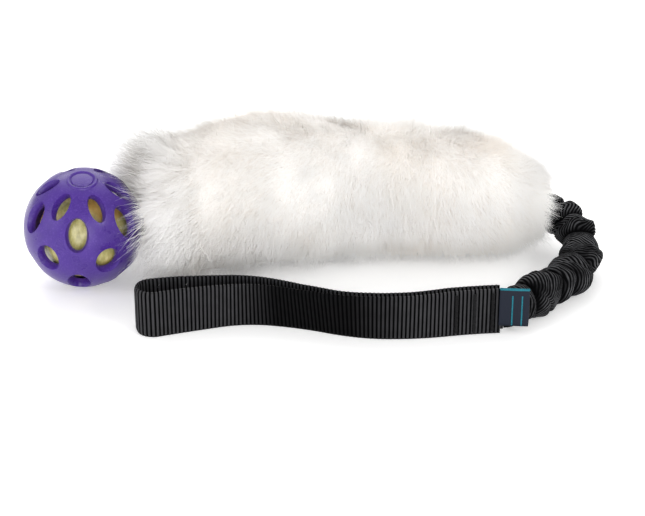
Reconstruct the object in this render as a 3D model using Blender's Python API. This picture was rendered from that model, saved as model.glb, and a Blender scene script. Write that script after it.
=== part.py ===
"""Bungee tug toy: a webbing hand loop, a gathered bungee sleeve, a long fur sleeve and a rubber lattice ball.

Metres, +Z up. The toy lies on the plane z = 0 and its origin is the middle of its footprint.
Every piece follows one route in plan, which starts at the sewn joint between the hand loop and the
bungee: the hand loop runs back from there, the bungee turns round in a U, and the fur sleeve runs
back beside the hand loop to the ball.
"""

import math

import bpy
from mathutils import Vector

# The sewn joint, where the hand loop ends and the bungee starts
SEAM_X = 0.0958
SEAM_Y = -0.0645
SEAM_HEADING = 4.0
CLEARANCE = 0.0003

# Hand loop: one strip of webbing, folded back on itself and standing on its edge
WEBBING_WIDTH = 0.025
WEBBING_THICKNESS = 0.0022
TAIL_THICKNESS = 0.0016
TAIL_LENGTH = 0.026
TAIL_MARGIN = 0.0015
LOOP_END_GAP = 0.0022
# Arcs of the loop's middle line from the joint to its tip: length, and turn in degrees
LOOP_ARCS = ((0.030, 8.0), (0.030, -13.0), (0.030, -24.0), (0.030, 11.0), (0.030, 28.0), (0.0325, 2.0))
LOOP_CLOSED_LENGTH = 0.080
LOOP_TIP_GAP = 0.0165
LOOP_STEPS = 28
TIP_STEPS = 8
# How far the upper edge leans to the front, as (distance from the joint, lean)
LOOP_LEAN = (
    (0.000, 0.0),
    (0.030, 0.0),
    (0.048, 0.0020),
    (0.068, 0.0030),
    (0.085, 0.0048),
    (0.104, 0.0058),
    (0.130, 0.0038),
    (0.147, 0.0028),
    (0.170, 0.0),
)

# Stitch rows across the sewn joint
STITCH_ROWS = 3
STITCH_FIRST = 0.0065
STITCH_PITCH = 0.0095
STITCH_HEIGHT = 0.0215
STITCH_THREAD = 0.0009
STITCHES_IN_ROW = 7

# Folded woven label, sewn in beside the joint
LABEL_WIDTH = 0.015
LABEL_HEIGHT = 0.0205
LABEL_THICKNESS = 0.0012
LABEL_FOOT = 0.0055
LABEL_OVERLAP = 0.0032
LABEL_OFFSET = 0.0042
LABEL_HEADING = -5.0

# Bungee: a gathered sleeve over an elastic core
CORE_RADIUS = 0.0035
CORE_BORE_CLEARANCE = 0.0005
CORE_TONGUE = 0.008
SLEEVE_CREST = 0.0108
SLEEVE_VALLEY = 0.0084
SLEEVE_RECESS = 0.0012
SLEEVE_START_HEADING = 47.0
# Arcs of the bungee's middle line, from the joint to the fur sleeve's mouth
BUNGEE_ARCS = (
    (0.018, 0.5),
    (0.017, -0.5),
    (0.018, 3.5),
    (0.019, 19.5),
    (0.018, 25.0),
    (0.015, 22.5),
    (0.013, 29.0),
    (0.007, 21.0),
)
# Length of each gather along the sleeve, from the joint on
GATHERS = (0.017, 0.020, 0.010, 0.020, 0.025, 0.014, 0.011, 0.008)
# Half the angle through which two gathers straighten at a hinge
HINGE_HALF_TURN = 19.5
GATHER_TILT = 0.16
GATHER_SIDES = 16
GATHER_RINGS = 5
CORE_STEPS = 26

# Fur sleeve: outer reach of the pile, as (distance from the mouth, radius)
FUR_START_HEADING = 167.5
FUR_ARCS = ((0.025, 20.5), (0.035, -18.5), (0.045, 21.5), (0.040, 4.0), (0.040, 8.0), (0.035, -5.0))
FUR_GIRTH = (
    (0.000, 0.0290),
    (0.020, 0.0340),
    (0.040, 0.0368),
    (0.065, 0.0378),
    (0.097, 0.0388),
    (0.125, 0.0420),
    (0.148, 0.0445),
    (0.172, 0.0435),
    (0.190, 0.0412),
    (0.220, 0.0380),
)
FUR_GIRTH_SPREAD = 0.009
FUR_SEAT = 0.93
FUR_MOUTH_ROUND = 0.018
FUR_MOUTH_SHARE = 0.50
MOUTH_RECESS = 0.003
FUR_END_ROUND = 0.020
FUR_END_SHARE = 0.55
FUR_CREASES = (0.074, 0.149)
CREASE_GAP = 0.0007
CREASE_LIP = 0.017
CREASE_FLOOR = 0.0012
# Angle from the sleeve's line at which a crease's dome starts, wide enough to go round the bore
DOME_START = 42.0
FUR_SIDES = 32
FUR_RING_SPACING = 0.0125
END_RECESS = 0.0025
STRAP_LEVEL = 0.0245
BORE_HALF_WIDTH = 0.0045
BORE_HALF_HEIGHT = 0.0120
STRAP_WIDTH = 0.020
STRAP_THICKNESS = 0.002
STRAP_STEPS = 24

# Rubber lattice ball on its tether, with a crackle ball loose inside it
BALL_RADIUS = 0.03175
CAGE_WALL = 0.0045
TETHER_GAP = 0.0034
TETHER_TAPE = 0.0010
TETHER_WIDTH = 0.0055
TETHER_SLACK = 0.0022
TETHER_INSET = 0.0012
TETHER_ROOT = 0.0018
ROOT_GAP = 0.0010
POLE_TILT = 14.4
POLE_LEAN = -79.0
DISC_RADIUS = 0.0084
DISC_RIM = 0.0015
DISC_RISE = 0.0007
COUNTERSINK_DEPTH = 0.0022
HOLES_IN_RING = 6
CRACKLE_PLAY = 0.0029
CRACKLE_WALL = 0.0012
CRACKLE_VENT = 4.0
BALL_SIDES = 36
HOLE_SIDES = 14

# Rings of holes: polar angle, half a step aside, opening and countersink half sizes (across, along)
HOLE_RINGS = (
    (36.0, False, (0.0032, 0.0070), (0.0044, 0.0086)),
    (60.0, True, (0.0048, 0.0082), (0.0064, 0.0104)),
    (90.0, False, (0.0056, 0.0064), (0.0072, 0.0080)),
    (120.0, True, (0.0048, 0.0082), (0.0064, 0.0104)),
    (144.0, False, (0.0032, 0.0070), (0.0044, 0.0086)),
)

BLACK_WEBBING = ("black_webbing", (0.018, 0.018, 0.020), 0.72, 0.0)
BLACK_THREAD = ("black_thread", (0.030, 0.030, 0.032), 0.60, 0.0)
NAVY_LABEL = ("navy_label", (0.020, 0.030, 0.060), 0.65, 0.0)
GREY_ELASTIC = ("grey_elastic", (0.30, 0.30, 0.29), 0.70, 0.0)
CREAM_FUR = ("cream_fur", (0.86, 0.82, 0.76), 0.90, 0.0)
PURPLE_RUBBER = ("purple_rubber", (0.09, 0.045, 0.30), 0.45, 0.0)
CRACKLE_PLASTIC = ("crackle_plastic", (0.36, 0.33, 0.11), 0.30, 0.0)


def material(look):
    name, colour, roughness, metallic = look
    found = bpy.data.materials.get(name)
    if found:
        return found
    made = bpy.data.materials.new(name)
    made.use_nodes = True
    made.diffuse_color = (*colour, 1.0)
    shader = made.node_tree.nodes["Principled BSDF"]
    shader.inputs["Base Color"].default_value = (*colour, 1.0)
    shader.inputs["Roughness"].default_value = roughness
    shader.inputs["Metallic"].default_value = metallic
    return made


def add_mesh(name, points, faces, look, pivot=Vector((0, 0, 0)), smooth=True):
    """A new object whose origin is at pivot, from points in the part's frame."""
    mesh = bpy.data.meshes.new(name)
    mesh.from_pydata([tuple(p - pivot) for p in points], [], faces)
    mesh.materials.append(material(look))
    mesh.update()
    if smooth:
        mesh.shade_smooth()
        mesh.set_sharp_from_angle(angle=math.radians(40))
    piece = bpy.data.objects.new(name, mesh)
    piece.location = pivot
    bpy.context.scene.collection.objects.link(piece)
    return piece


def along(x, y, heading, arcs, distance):
    """Plan point and heading (radians) at a distance along a chain of arcs; runs straight past the end."""
    here = math.radians(heading)
    left = distance
    for length, turn in arcs:
        part = min(max(left, 0.0), length)
        bend = math.radians(turn) * part / length
        chord = part if abs(bend) < 1e-6 else part * math.sin(bend / 2) / (bend / 2)
        x += chord * math.cos(here + bend / 2)
        y += chord * math.sin(here + bend / 2)
        here += bend
        left -= part
    return Vector((x + left * math.cos(here), y + left * math.sin(here), 0.0)), here


BUNGEE_LENGTH = sum(length for length, _ in BUNGEE_ARCS)
FUR_LENGTH = sum(length for length, _ in FUR_ARCS)
LOOP_LENGTH = sum(length for length, _ in LOOP_ARCS)
CAGE_INNER = BALL_RADIUS - CAGE_WALL
CRACKLE_RADIUS = CAGE_INNER - CRACKLE_PLAY
SLEEVE_BORE = CORE_RADIUS + CORE_BORE_CLEARANCE


def smooth_step(t):
    t = min(max(t, 0.0), 1.0)
    return t * t * (3 - 2 * t)


def between(table, at):
    """Value at a distance in a table of (distance, value), rounded off between its entries."""
    if at <= table[0][0]:
        return table[0][1]
    for (x0, y0), (x1, y1) in zip(table, table[1:]):
        if at <= x1:
            return y0 + (y1 - y0) * (at - x0) / (x1 - x0)
    return table[-1][1]


def girth(distance):
    """Radius of the pile, averaged over a short stretch so that the table's corners are rounded."""
    return sum(between(FUR_GIRTH, distance + k * FUR_GIRTH_SPREAD) for k in (-1, 0, 1)) / 3


def fur_height(distance):
    """Height of the fur sleeve's middle: its pile is pressed flat where it rests on the ground."""
    return FUR_SEAT * girth(distance)


def loop_line(distance):
    return along(SEAM_X, SEAM_Y, SEAM_HEADING + 180.0, LOOP_ARCS, distance)


def bungee_line(distance):
    """Middle of the bungee: on the ground at the joint, raised to the fur sleeve's mouth."""
    point, heading = along(SEAM_X, SEAM_Y, SLEEVE_START_HEADING, BUNGEE_ARCS, distance)
    low = SLEEVE_CREST
    point.z = low + (STRAP_LEVEL - low) * smooth_step((distance / BUNGEE_LENGTH - 0.45) / 0.60)
    return point, heading


def fur_line(distance):
    start, _ = along(SEAM_X, SEAM_Y, SLEEVE_START_HEADING, BUNGEE_ARCS, BUNGEE_LENGTH)
    point, heading = along(start.x, start.y, FUR_START_HEADING, FUR_ARCS, distance)
    point.z = STRAP_LEVEL
    return point, heading


def directions(heading):
    """Forward and left in plan, for a heading in radians."""
    forward = Vector((math.cos(heading), math.sin(heading), 0.0))
    return forward, Vector((-forward.y, forward.x, 0.0))


def prism(outline, low, high, top=None):
    """Points and faces between two heights of a closed outline, run anticlockwise, which may have
    another outline of as many points at its top."""
    n = len(outline)
    points = [Vector((p.x, p.y, low)) for p in outline]
    points += [Vector((p.x, p.y, high)) for p in top or outline]
    faces = [(k, (k + 1) % n, n + (k + 1) % n, n + k) for k in range(n)]
    faces.append(tuple(range(n - 1, -1, -1)))
    faces.append(tuple(range(n, 2 * n)))
    return points, faces


def tube(outer, inner):
    """Points and faces of a tube from matching lists of outer and inner rings, run forwards."""
    n = len(outer[0])
    rings = outer + inner[::-1]
    points = [p for ring in rings for p in ring]
    faces = []
    for i in range(len(rings)):
        a = i * n
        b = (i + 1) % len(rings) * n
        faces += [(a + k, a + (k + 1) % n, b + (k + 1) % n, b + k) for k in range(n)]
    return points, faces


def round_ring(line, distance, radius, sides):
    """A ring round a line."""
    centre, heading = line(distance)
    _, left = directions(heading)
    ring = []
    for k in range(sides):
        angle = 2 * math.pi * k / sides
        place = centre + left * radius * math.cos(angle)
        place.z = centre.z + radius * math.sin(angle)
        ring.append(place)
    return ring


def half_gap(distance):
    """Half the distance between the middles of the two plies of the hand loop."""
    sewn = TAIL_THICKNESS + WEBBING_THICKNESS + 2 * CLEARANCE
    opened = (distance - LOOP_CLOSED_LENGTH) / (LOOP_LENGTH - LOOP_CLOSED_LENGTH)
    return (sewn + (LOOP_TIP_GAP - sewn) * max(opened, 0.0) ** 1.2) / 2


def ply_side(offset, reverse, upper):
    """Points along the hand loop at an offset outside both plies' middle lines, round the tip, for
    the lower edge or the upper one."""
    start = LOOP_END_GAP
    stops = [start + (LOOP_LENGTH - start) * k / LOOP_STEPS for k in range(LOOP_STEPS + 1)]
    front = []
    back = []
    for stop in stops:
        centre, heading = loop_line(stop)
        _, left = directions(heading)
        if upper:
            centre = centre + left * between(LOOP_LEAN, stop)
        front.append(centre + left * (half_gap(stop) + offset))
        back.append(centre - left * (half_gap(stop) + offset))
    centre, heading = loop_line(LOOP_LENGTH)
    forward, left = directions(heading)
    reach = half_gap(LOOP_LENGTH) + offset
    tip = []
    for k in range(1, TIP_STEPS):
        angle = math.pi * k / TIP_STEPS
        tip.append(centre + left * reach * math.cos(angle) + forward * reach * math.sin(angle))
    points = front + tip + back[::-1]
    return points[::-1] if reverse else points


def make_hand_loop():
    half = WEBBING_THICKNESS / 2
    lower = ply_side(half, False, False) + ply_side(-half, True, False)
    upper = ply_side(half, False, True) + ply_side(-half, True, True)
    points, faces = prism(lower[::-1], 0.0, WEBBING_WIDTH, upper[::-1])
    add_mesh("handle_webbing", points, faces, BLACK_WEBBING)


def strip_outline(line, start, end, thickness, steps):
    """Outline of a strip along a line, anticlockwise."""
    right = []
    left_side = []
    for k in range(steps + 1):
        centre, heading = line(start + (end - start) * k / steps)
        _, left = directions(heading)
        right.append(centre - left * thickness / 2)
        left_side.append(centre + left * thickness / 2)
    return right + left_side[::-1]


def make_sleeve_tail():
    """The sleeve's flat end, sewn between the two plies."""
    outline = strip_outline(loop_line, CLEARANCE, TAIL_LENGTH, TAIL_THICKNESS, 4)
    points, faces = prism(outline, TAIL_MARGIN, WEBBING_WIDTH - TAIL_MARGIN)
    add_mesh("sleeve_tail", points, faces, BLACK_WEBBING)


def make_stitch_rows():
    """Each row is one thread that swells at every stitch, on the front ply or the back ply."""
    low = (WEBBING_WIDTH - STITCH_HEIGHT) / 2
    step = STITCH_HEIGHT / STITCHES_IN_ROW
    levels = []
    for k in range(STITCHES_IN_ROW):
        levels += [(low + k * step, 0.45), (low + (k + 0.3) * step, 1.0), (low + (k + 0.7) * step, 1.0)]
    levels.append((low + STITCH_HEIGHT, 0.45))
    for side, label in ((1.0, "front"), (-1.0, "back")):
        for row in range(STITCH_ROWS):
            at = STITCH_FIRST + row * STITCH_PITCH
            centre, heading = loop_line(at)
            forward, left = directions(heading)
            out = left * side
            face = centre + out * (half_gap(at) + WEBBING_THICKNESS / 2 + CLEARANCE)
            points = []
            for height, share in levels:
                rise = out * STITCH_THREAD * share
                for place in (face - forward * STITCH_THREAD, face + forward * STITCH_THREAD,
                              face + forward * STITCH_THREAD * 0.6 + rise,
                              face - forward * STITCH_THREAD * 0.6 + rise):
                    points.append(Vector((place.x, place.y, height)))
            order = (3, 2, 1, 0) if side > 0 else (0, 1, 2, 3)
            faces = []
            for k in range(len(levels) - 1):
                for a, b in zip(order, order[1:] + order[:1]):
                    faces.append((4 * k + b, 4 * k + a, 4 * k + 4 + a, 4 * k + 4 + b))
            last = 4 * (len(levels) - 1)
            faces.append(tuple(order))
            faces.append(tuple(last + k for k in order[::-1]))
            add_mesh(f"stitch_row_{label}_{row + 1}", points, faces, BLACK_THREAD, smooth=False)


def label_root():
    """The label's sewn edge, just before the joint on the front ply."""
    forward, left = directions(math.radians(SEAM_HEADING))
    return Vector((SEAM_X, SEAM_Y, 0.0)) - forward * LABEL_OVERLAP - left * LABEL_OFFSET


def make_label():
    root = label_root()
    forward, left = directions(math.radians(LABEL_HEADING))
    half = LABEL_THICKNESS / 2
    straight = LABEL_WIDTH - half
    outline = [root - left * half, root + forward * straight - left * half]
    for k in range(1, 4):
        angle = -math.pi / 2 + math.pi * k / 4
        outline.append(root + forward * (straight + half * math.cos(angle)) + left * half * math.sin(angle))
    outline += [root + forward * straight + left * half, root + left * half]
    points, faces = prism(outline, LABEL_FOOT, LABEL_FOOT + LABEL_HEIGHT)
    add_mesh("label", points, faces, NAVY_LABEL, root)


def gather_starts():
    """Where each gather starts along the sleeve, and where the last one ends."""
    starts = [0.0]
    for length in GATHERS:
        starts.append(starts[-1] + length)
    return starts


def gather_ring(start, end, slopes, share, radius, lean, turn):
    """A ring at a share of the way between a gather's two faces. Each face falls away by its slope on
    the outside of the U, the right-hand side, so that the gathers close up as the U straightens."""
    ring = []
    for k in range(GATHER_SIDES):
        angle = 2 * math.pi * k / GATHER_SIDES
        outside = max(-radius * math.cos(angle), 0.0)
        first = start + CLEARANCE + slopes[0] * outside
        last = end - CLEARANCE - slopes[1] * outside
        centre, heading = bungee_line(first + (last - first) * share + lean * radius * math.cos(angle - turn))
        _, left = directions(heading)
        place = centre + left * radius * math.cos(angle)
        place.z = max(centre.z + radius * math.sin(angle), 0.0)
        ring.append(place)
    return ring


def make_gathers():
    """Gathers of the sleeve: rounded lobes that lean to either side in turn, threaded on the core.
    They hinge and slide on each other in turn, so every other face is wedge-shaped."""
    starts = gather_starts()
    steep = math.tan(math.radians(HINGE_HALF_TURN))
    for number in range(len(GATHERS)):
        hinged = number % 2 == 0
        start = starts[number] + (SLEEVE_RECESS if number == 0 else 0.0)
        end = starts[number + 1]
        slopes = (steep, 0.0) if hinged else (0.0, steep)
        tilt = GATHER_TILT * (-1 if hinged else 1) * min(1.0, GATHERS[number] / GATHERS[0])
        turn = 0.9 * number
        outer = []
        for k in range(GATHER_RINGS + 2):
            share = k / (GATHER_RINGS + 1)
            swell = math.sin(math.pi * share) ** 0.7
            radius = SLEEVE_VALLEY + (SLEEVE_CREST - SLEEVE_VALLEY) * swell
            outer.append(gather_ring(start, end, slopes, share, radius, tilt * swell, turn))
        inner = [gather_ring(start, end, slopes, share, SLEEVE_BORE, 0.0, 0.0) for share in (0.0, 0.5, 1.0)]
        points, faces = tube(outer, inner)
        pivot, _ = bungee_line(starts[number])
        add_mesh(f"sleeve_gather_{number + 1}", points, faces, BLACK_WEBBING, pivot)


def core_and_strap(distance):
    """The bungee's line, run on along the fur sleeve's line past the mouth."""
    if distance <= BUNGEE_LENGTH:
        return bungee_line(distance)
    return fur_line(distance - BUNGEE_LENGTH)


def make_elastic_core():
    stop = BUNGEE_LENGTH + CORE_TONGUE
    start = 3 * CLEARANCE
    stops = [start + (stop - start) * k / CORE_STEPS for k in range(CORE_STEPS + 1)]
    rings = [round_ring(core_and_strap, at, CORE_RADIUS, 10) for at in stops]
    points = [p for ring in rings for p in ring]
    faces = []
    for i in range(len(rings) - 1):
        a = i * 10
        faces += [(a + k, a + (k + 1) % 10, a + 10 + (k + 1) % 10, a + 10 + k) for k in range(10)]
    faces.append(tuple(range(9, -1, -1)))
    faces.append(tuple(range(len(points) - 10, len(points))))
    add_mesh("elastic_core", points, faces, GREY_ELASTIC)


def make_inner_strap():
    """The strap inside the fur sleeve, which carries the pull from the elastic core to the tether."""
    start = CORE_TONGUE + CLEARANCE
    points = []
    for k in range(STRAP_STEPS + 1):
        centre, heading = fur_line(start + (FUR_LENGTH - start) * k / STRAP_STEPS)
        _, left = directions(heading)
        for across, up in ((-1, -1), (1, -1), (1, 1), (-1, 1)):
            place = centre + left * across * STRAP_THICKNESS / 2
            place.z += up * STRAP_WIDTH / 2
            points.append(place)
    faces = [(3, 2, 1, 0), tuple(4 * STRAP_STEPS + k for k in range(4))]
    for k in range(STRAP_STEPS):
        a = 4 * k
        faces += [(a + i, a + (i + 1) % 4, a + 4 + (i + 1) % 4, a + 4 + i) for i in range(4)]
    add_mesh("inner_strap", points, faces, BLACK_WEBBING)


def pile_ring(at, radius, middle, floor, back=0.0):
    """A ring of the pile round the fur sleeve's line, pressed flat at a floor height. It may lie
    straight back from the line's point by a distance."""
    ring = []
    centre, heading = fur_line(at)
    forward, left = directions(heading)
    centre = centre - forward * back
    for k in range(FUR_SIDES):
        angle = 2 * math.pi * (k + 0.5) / FUR_SIDES
        place = centre + left * radius * math.cos(angle)
        place.z = max(middle + radius * math.sin(angle), floor)
        ring.append(place)
    return ring


def ball_ring(crease, radius, floor, ring_radius):
    """A ring on a ball centred on the fur sleeve's line at a crease, on the mouth's side of it."""
    depth = math.sqrt(max(radius ** 2 - ring_radius ** 2, 0.0))
    return pile_ring(crease, ring_radius, fur_height(crease), floor, depth)


def bore_ring(at):
    """A ring of the oval bore that the strap runs in."""
    ring = []
    centre, heading = fur_line(at)
    _, left = directions(heading)
    for k in range(FUR_SIDES):
        angle = 2 * math.pi * (k + 0.5) / FUR_SIDES
        place = centre + left * BORE_HALF_WIDTH * math.cos(angle)
        place.z = centre.z + BORE_HALF_HEIGHT * math.sin(angle)
        ring.append(place)
    return ring


def cap_ring(crease, radius, floor, share):
    """A ring on the same ball as ball_ring, a share of the way out from the bore to the dome's first
    ring, so that the faces round the bore turn on each other too."""
    centre, heading = fur_line(crease)
    forward, left = directions(heading)
    middle = fur_height(crease)
    wide = radius * math.sin(math.radians(DOME_START))
    bore, _ = fur_line(crease - 0.9 * radius)
    aside = (bore - centre).dot(left) * (1 - share)
    ring = []
    for k in range(FUR_SIDES):
        angle = 2 * math.pi * (k + 0.5) / FUR_SIDES
        across = aside + (BORE_HALF_WIDTH + (wide - BORE_HALF_WIDTH) * share) * math.cos(angle)
        low = centre.z + BORE_HALF_HEIGHT * math.sin(angle)
        high = max(middle + wide * math.sin(angle), floor)
        height = low + (high - low) * share
        depth = math.sqrt(radius ** 2 - across ** 2 - (height - middle) ** 2)
        place = centre - forward * depth + left * across
        place.z = height
        ring.append(place)
    return ring


def rounding(at):
    """Share of the full girth left near the sleeve's two ends."""
    share = 1.0
    run = at - MOUTH_RECESS
    if run < FUR_MOUTH_ROUND:
        t = 1 - run / FUR_MOUTH_ROUND
        share = FUR_MOUTH_SHARE + (1 - FUR_MOUTH_SHARE) * math.sqrt(max(1 - t * t, 0.0))
    left = FUR_LENGTH - END_RECESS - at
    if left < FUR_END_ROUND:
        t = 1 - left / FUR_END_ROUND
        share = FUR_END_SHARE + (1 - FUR_END_SHARE) * math.sqrt(max(1 - t * t, 0.0))
    return share


def full_ring(at):
    return pile_ring(at, girth(at) * rounding(at), fur_height(at), 0.0)


def crease_dome(crease):
    """Rings of the dome that turns in the neighbour's hollow, from the bore to the crease."""
    radius = girth(crease)
    rings = [cap_ring(crease, radius, 2 * CREASE_FLOOR, share) for share in (0.0, 0.33, 0.67)]
    for k in range(4):
        degrees = DOME_START + (78 - DOME_START) * k / 3
        rings.append(ball_ring(crease, radius, 2 * CREASE_FLOOR, radius * math.sin(math.radians(degrees))))
    return rings


def crease_hollow(crease):
    """Rings of the hollow from its lip to the bore."""
    radius = girth(crease) + CREASE_GAP
    lip = math.sqrt(radius ** 2 - CREASE_LIP ** 2)
    lip_angle = math.degrees(math.asin(lip / radius))
    rings = []
    for k in range(3):
        degrees = lip_angle + (DOME_START - lip_angle) * k / 2
        rings.append(ball_ring(crease, radius, CREASE_FLOOR, radius * math.sin(math.radians(degrees))))
    return rings + [cap_ring(crease, radius, CREASE_FLOOR, share) for share in (0.67, 0.33, 0.0)]


def make_fur_sleeve():
    """Three lengths of one sleeve, each domed into the one before it so that the sleeve can flex."""
    bounds = (0.0, *FUR_CREASES, FUR_LENGTH)
    for number in range(len(bounds) - 1):
        start = bounds[number]
        end = bounds[number + 1]
        first = number == 0
        last = number == len(bounds) - 2
        if first:
            body_start = MOUTH_RECESS
            bore_start = MOUTH_RECESS / 2
            outer = [bore_ring(bore_start)]
        else:
            body_start = start
            bore_start = start - girth(start) * math.cos(math.radians(DOME_START))
            outer = crease_dome(start)
        body_end = end - END_RECESS if last else end - CREASE_LIP
        steps = max(3, round((body_end - body_start) / FUR_RING_SPACING))
        stops = [body_start + (body_end - body_start) * k / steps for k in range(steps + 1)]
        if first:
            stops += [MOUTH_RECESS + FUR_MOUTH_ROUND * share for share in (0.15, 0.45)]
        if last:
            stops += [body_end - FUR_END_ROUND * share for share in (0.45, 0.15)]
        outer += [full_ring(at) for at in sorted(stops)]
        if last:
            bore_end = end - END_RECESS / 2
            outer.append(bore_ring(bore_end))
        else:
            # The bore's own rings stop before the slanted mouth that it has in the hollow
            bore_end = end - girth(end)
            outer += crease_hollow(end)
        inner = [bore_ring(bore_start + (bore_end - bore_start) * k / 7) for k in range(1, 7)]
        points, faces = tube(outer, inner)
        pivot, _ = fur_line(start)
        add_mesh(f"fur_sleeve_{number + 1}", points, faces, CREAM_FUR, pivot)


def ball_centre():
    """The ball rests on its lower disc, a tether's length past the end of the fur sleeve."""
    end, heading = fur_line(FUR_LENGTH)
    forward, _ = directions(heading)
    reach = BALL_RADIUS + TETHER_GAP
    height = BALL_RADIUS + DISC_RISE
    level = math.sqrt(reach ** 2 - (end.z - height) ** 2)
    return Vector((end.x, end.y, height)) + forward * level


def ball_axes():
    """The cage's own directions: its pole, and the meridian on which the tether's strut lies."""
    pole = Vector((0, 0, 1))
    tilt = math.radians(POLE_TILT)
    lean = math.radians(POLE_LEAN)
    pole = Vector((math.sin(tilt) * math.cos(lean), math.sin(tilt) * math.sin(lean), math.cos(tilt)))
    end, _ = fur_line(FUR_LENGTH)
    outwards = (end - ball_centre()).normalized()
    across = pole.cross(outwards).normalized()
    meridian = across.cross(pole).normalized()
    return pole, meridian, across


def on_ball(polar, azimuth):
    """Unit direction at a polar angle and azimuth in degrees on the cage."""
    pole, meridian, across = ball_axes()
    p = math.radians(polar)
    a = math.radians(azimuth)
    return pole * math.cos(p) + (meridian * math.cos(a) + across * math.sin(a)) * math.sin(p)


def first_azimuth():
    """Azimuth of a hole on the equator: a quarter of a step from the strut that faces the tether."""
    return -90.0 / HOLES_IN_RING


def lathe(profile, sides, centre, open_ends):
    """Points and faces of a profile of (radius, polar) turned round the cage's pole."""
    pole, meridian, across = ball_axes()
    points = []
    rings = []
    for radius, polar in profile:
        if polar in (0.0, 180.0):
            rings.append([len(points)])
            points.append(centre + pole * radius * math.cos(math.radians(polar)))
            continue
        ring = []
        for k in range(sides):
            ring.append(len(points))
            points.append(centre + on_ball(polar, 360.0 * k / sides) * radius)
        rings.append(ring)
    faces = []
    pairs = list(zip(rings, rings[1:]))
    if open_ends:
        pairs.append((rings[-1], rings[0]))
    for a, b in pairs:
        for k in range(sides):
            n = (k + 1) % sides
            if len(a) == 1 and len(b) == 1:
                continue
            if len(a) == 1:
                faces.append((a[0], b[k], b[n]))
            elif len(b) == 1:
                faces.append((a[k], b[0], a[n]))
            else:
                faces.append((a[k], b[k], b[n], a[n]))
    return points, faces


def sphere_profile(radius, polars):
    return [(radius, polar) for polar in polars]


def cage_profile():
    """Outer profile of the cage from pole to pole, with a plain raised disc at each pole."""
    rim = math.degrees(DISC_RADIUS / BALL_RADIUS)
    inside = math.degrees((DISC_RADIUS - DISC_RIM) / BALL_RADIUS)
    high = BALL_RADIUS + DISC_RISE
    top = [(BALL_RADIUS, 0.0), (BALL_RADIUS, inside - 1.0), (high, inside), (high, rim - 1.0), (BALL_RADIUS, rim)]
    bottom = [(radius, 180.0 - polar) for radius, polar in top[::-1]]
    count = BALL_SIDES // 2 - 4
    middle = [rim + (180.0 - 2 * rim) * k / count for k in range(1, count)]
    return top + sphere_profile(BALL_RADIUS, middle) + bottom


def hole_cutter(polar, azimuth, opening, countersink):
    """Points and faces of one oval cutter through the cage's wall, wider at the surface."""
    out = on_ball(polar, azimuth)
    pole = ball_axes()[0]
    across = pole.cross(out).normalized()
    up = out.cross(across).normalized()
    centre = ball_centre()
    slope = (countersink[0] - opening[0]) / COUNTERSINK_DEPTH
    rings = []
    for distance, extra in (
        (BALL_RADIUS + COUNTERSINK_DEPTH, slope * 2 * COUNTERSINK_DEPTH),
        (BALL_RADIUS - COUNTERSINK_DEPTH, 0.0),
        (CAGE_INNER - CAGE_WALL / 2, 0.0),
    ):
        ring = []
        for k in range(HOLE_SIDES):
            angle = 2 * math.pi * k / HOLE_SIDES
            wide = (opening[0] + extra) * math.cos(angle)
            tall = (opening[1] + extra) * math.sin(angle)
            ring.append(centre + out * distance + across * wide + up * tall)
        rings.append(ring)
    points = [p for ring in rings for p in ring]
    n = HOLE_SIDES
    faces = []
    for i in range(2):
        a = i * n
        faces += [(a + k, a + n + k, a + n + (k + 1) % n, a + (k + 1) % n) for k in range(n)]
    faces.append(tuple(range(n)))
    faces.append(tuple(range(3 * n - 1, 2 * n - 1, -1)))
    return points, faces


def make_ball_cage():
    centre = ball_centre()
    pivot, _ = fur_line(FUR_LENGTH)
    outer_points, outer_faces = lathe(cage_profile(), BALL_SIDES, centre, False)
    polars = [180.0 * k / (BALL_SIDES // 2) for k in range(BALL_SIDES // 2 + 1)]
    inner_points, inner_faces = lathe(sphere_profile(CAGE_INNER, polars), BALL_SIDES, centre, False)
    shift = len(outer_points)
    inner_faces = [tuple(shift + k for k in face[::-1]) for face in inner_faces]
    cage = add_mesh("ball_cage", outer_points + inner_points, outer_faces + inner_faces, PURPLE_RUBBER, pivot)
    points = []
    faces = []
    step = 360.0 / HOLES_IN_RING
    for polar, aside, opening, countersink in HOLE_RINGS:
        for k in range(HOLES_IN_RING):
            azimuth = step * (k + (0.5 if aside else 0.0)) + first_azimuth()
            more_points, more_faces = hole_cutter(polar, azimuth, opening, countersink)
            faces += [tuple(len(points) + i for i in face) for face in more_faces]
            points += more_points
    cutter = add_mesh("ball_holes_cutter", points, faces, PURPLE_RUBBER, pivot, smooth=False)
    cutter.hide_render = True
    cutter.display_type = "WIRE"
    cut = cage.modifiers.new("holes", "BOOLEAN")
    cut.operation = "DIFFERENCE"
    cut.solver = "EXACT"
    cut.object = cutter


def make_crackle_ball():
    """A thin shell that lies loose in the cage, resting on the bottom of its wall."""
    centre = ball_centre()
    centre.z -= CAGE_INNER - CRACKLE_RADIUS - CLEARANCE
    steps = BALL_SIDES // 3
    polars = [CRACKLE_VENT + (180.0 - CRACKLE_VENT) * k / steps for k in range(steps + 1)]
    profile = sphere_profile(CRACKLE_RADIUS, polars)
    profile += sphere_profile(CRACKLE_RADIUS - CRACKLE_WALL, polars[::-1])
    points, faces = lathe(profile, BALL_SIDES * 2 // 3, centre, True)
    add_mesh("crackle_ball", points, faces, CRACKLE_PLASTIC, centre)


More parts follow.
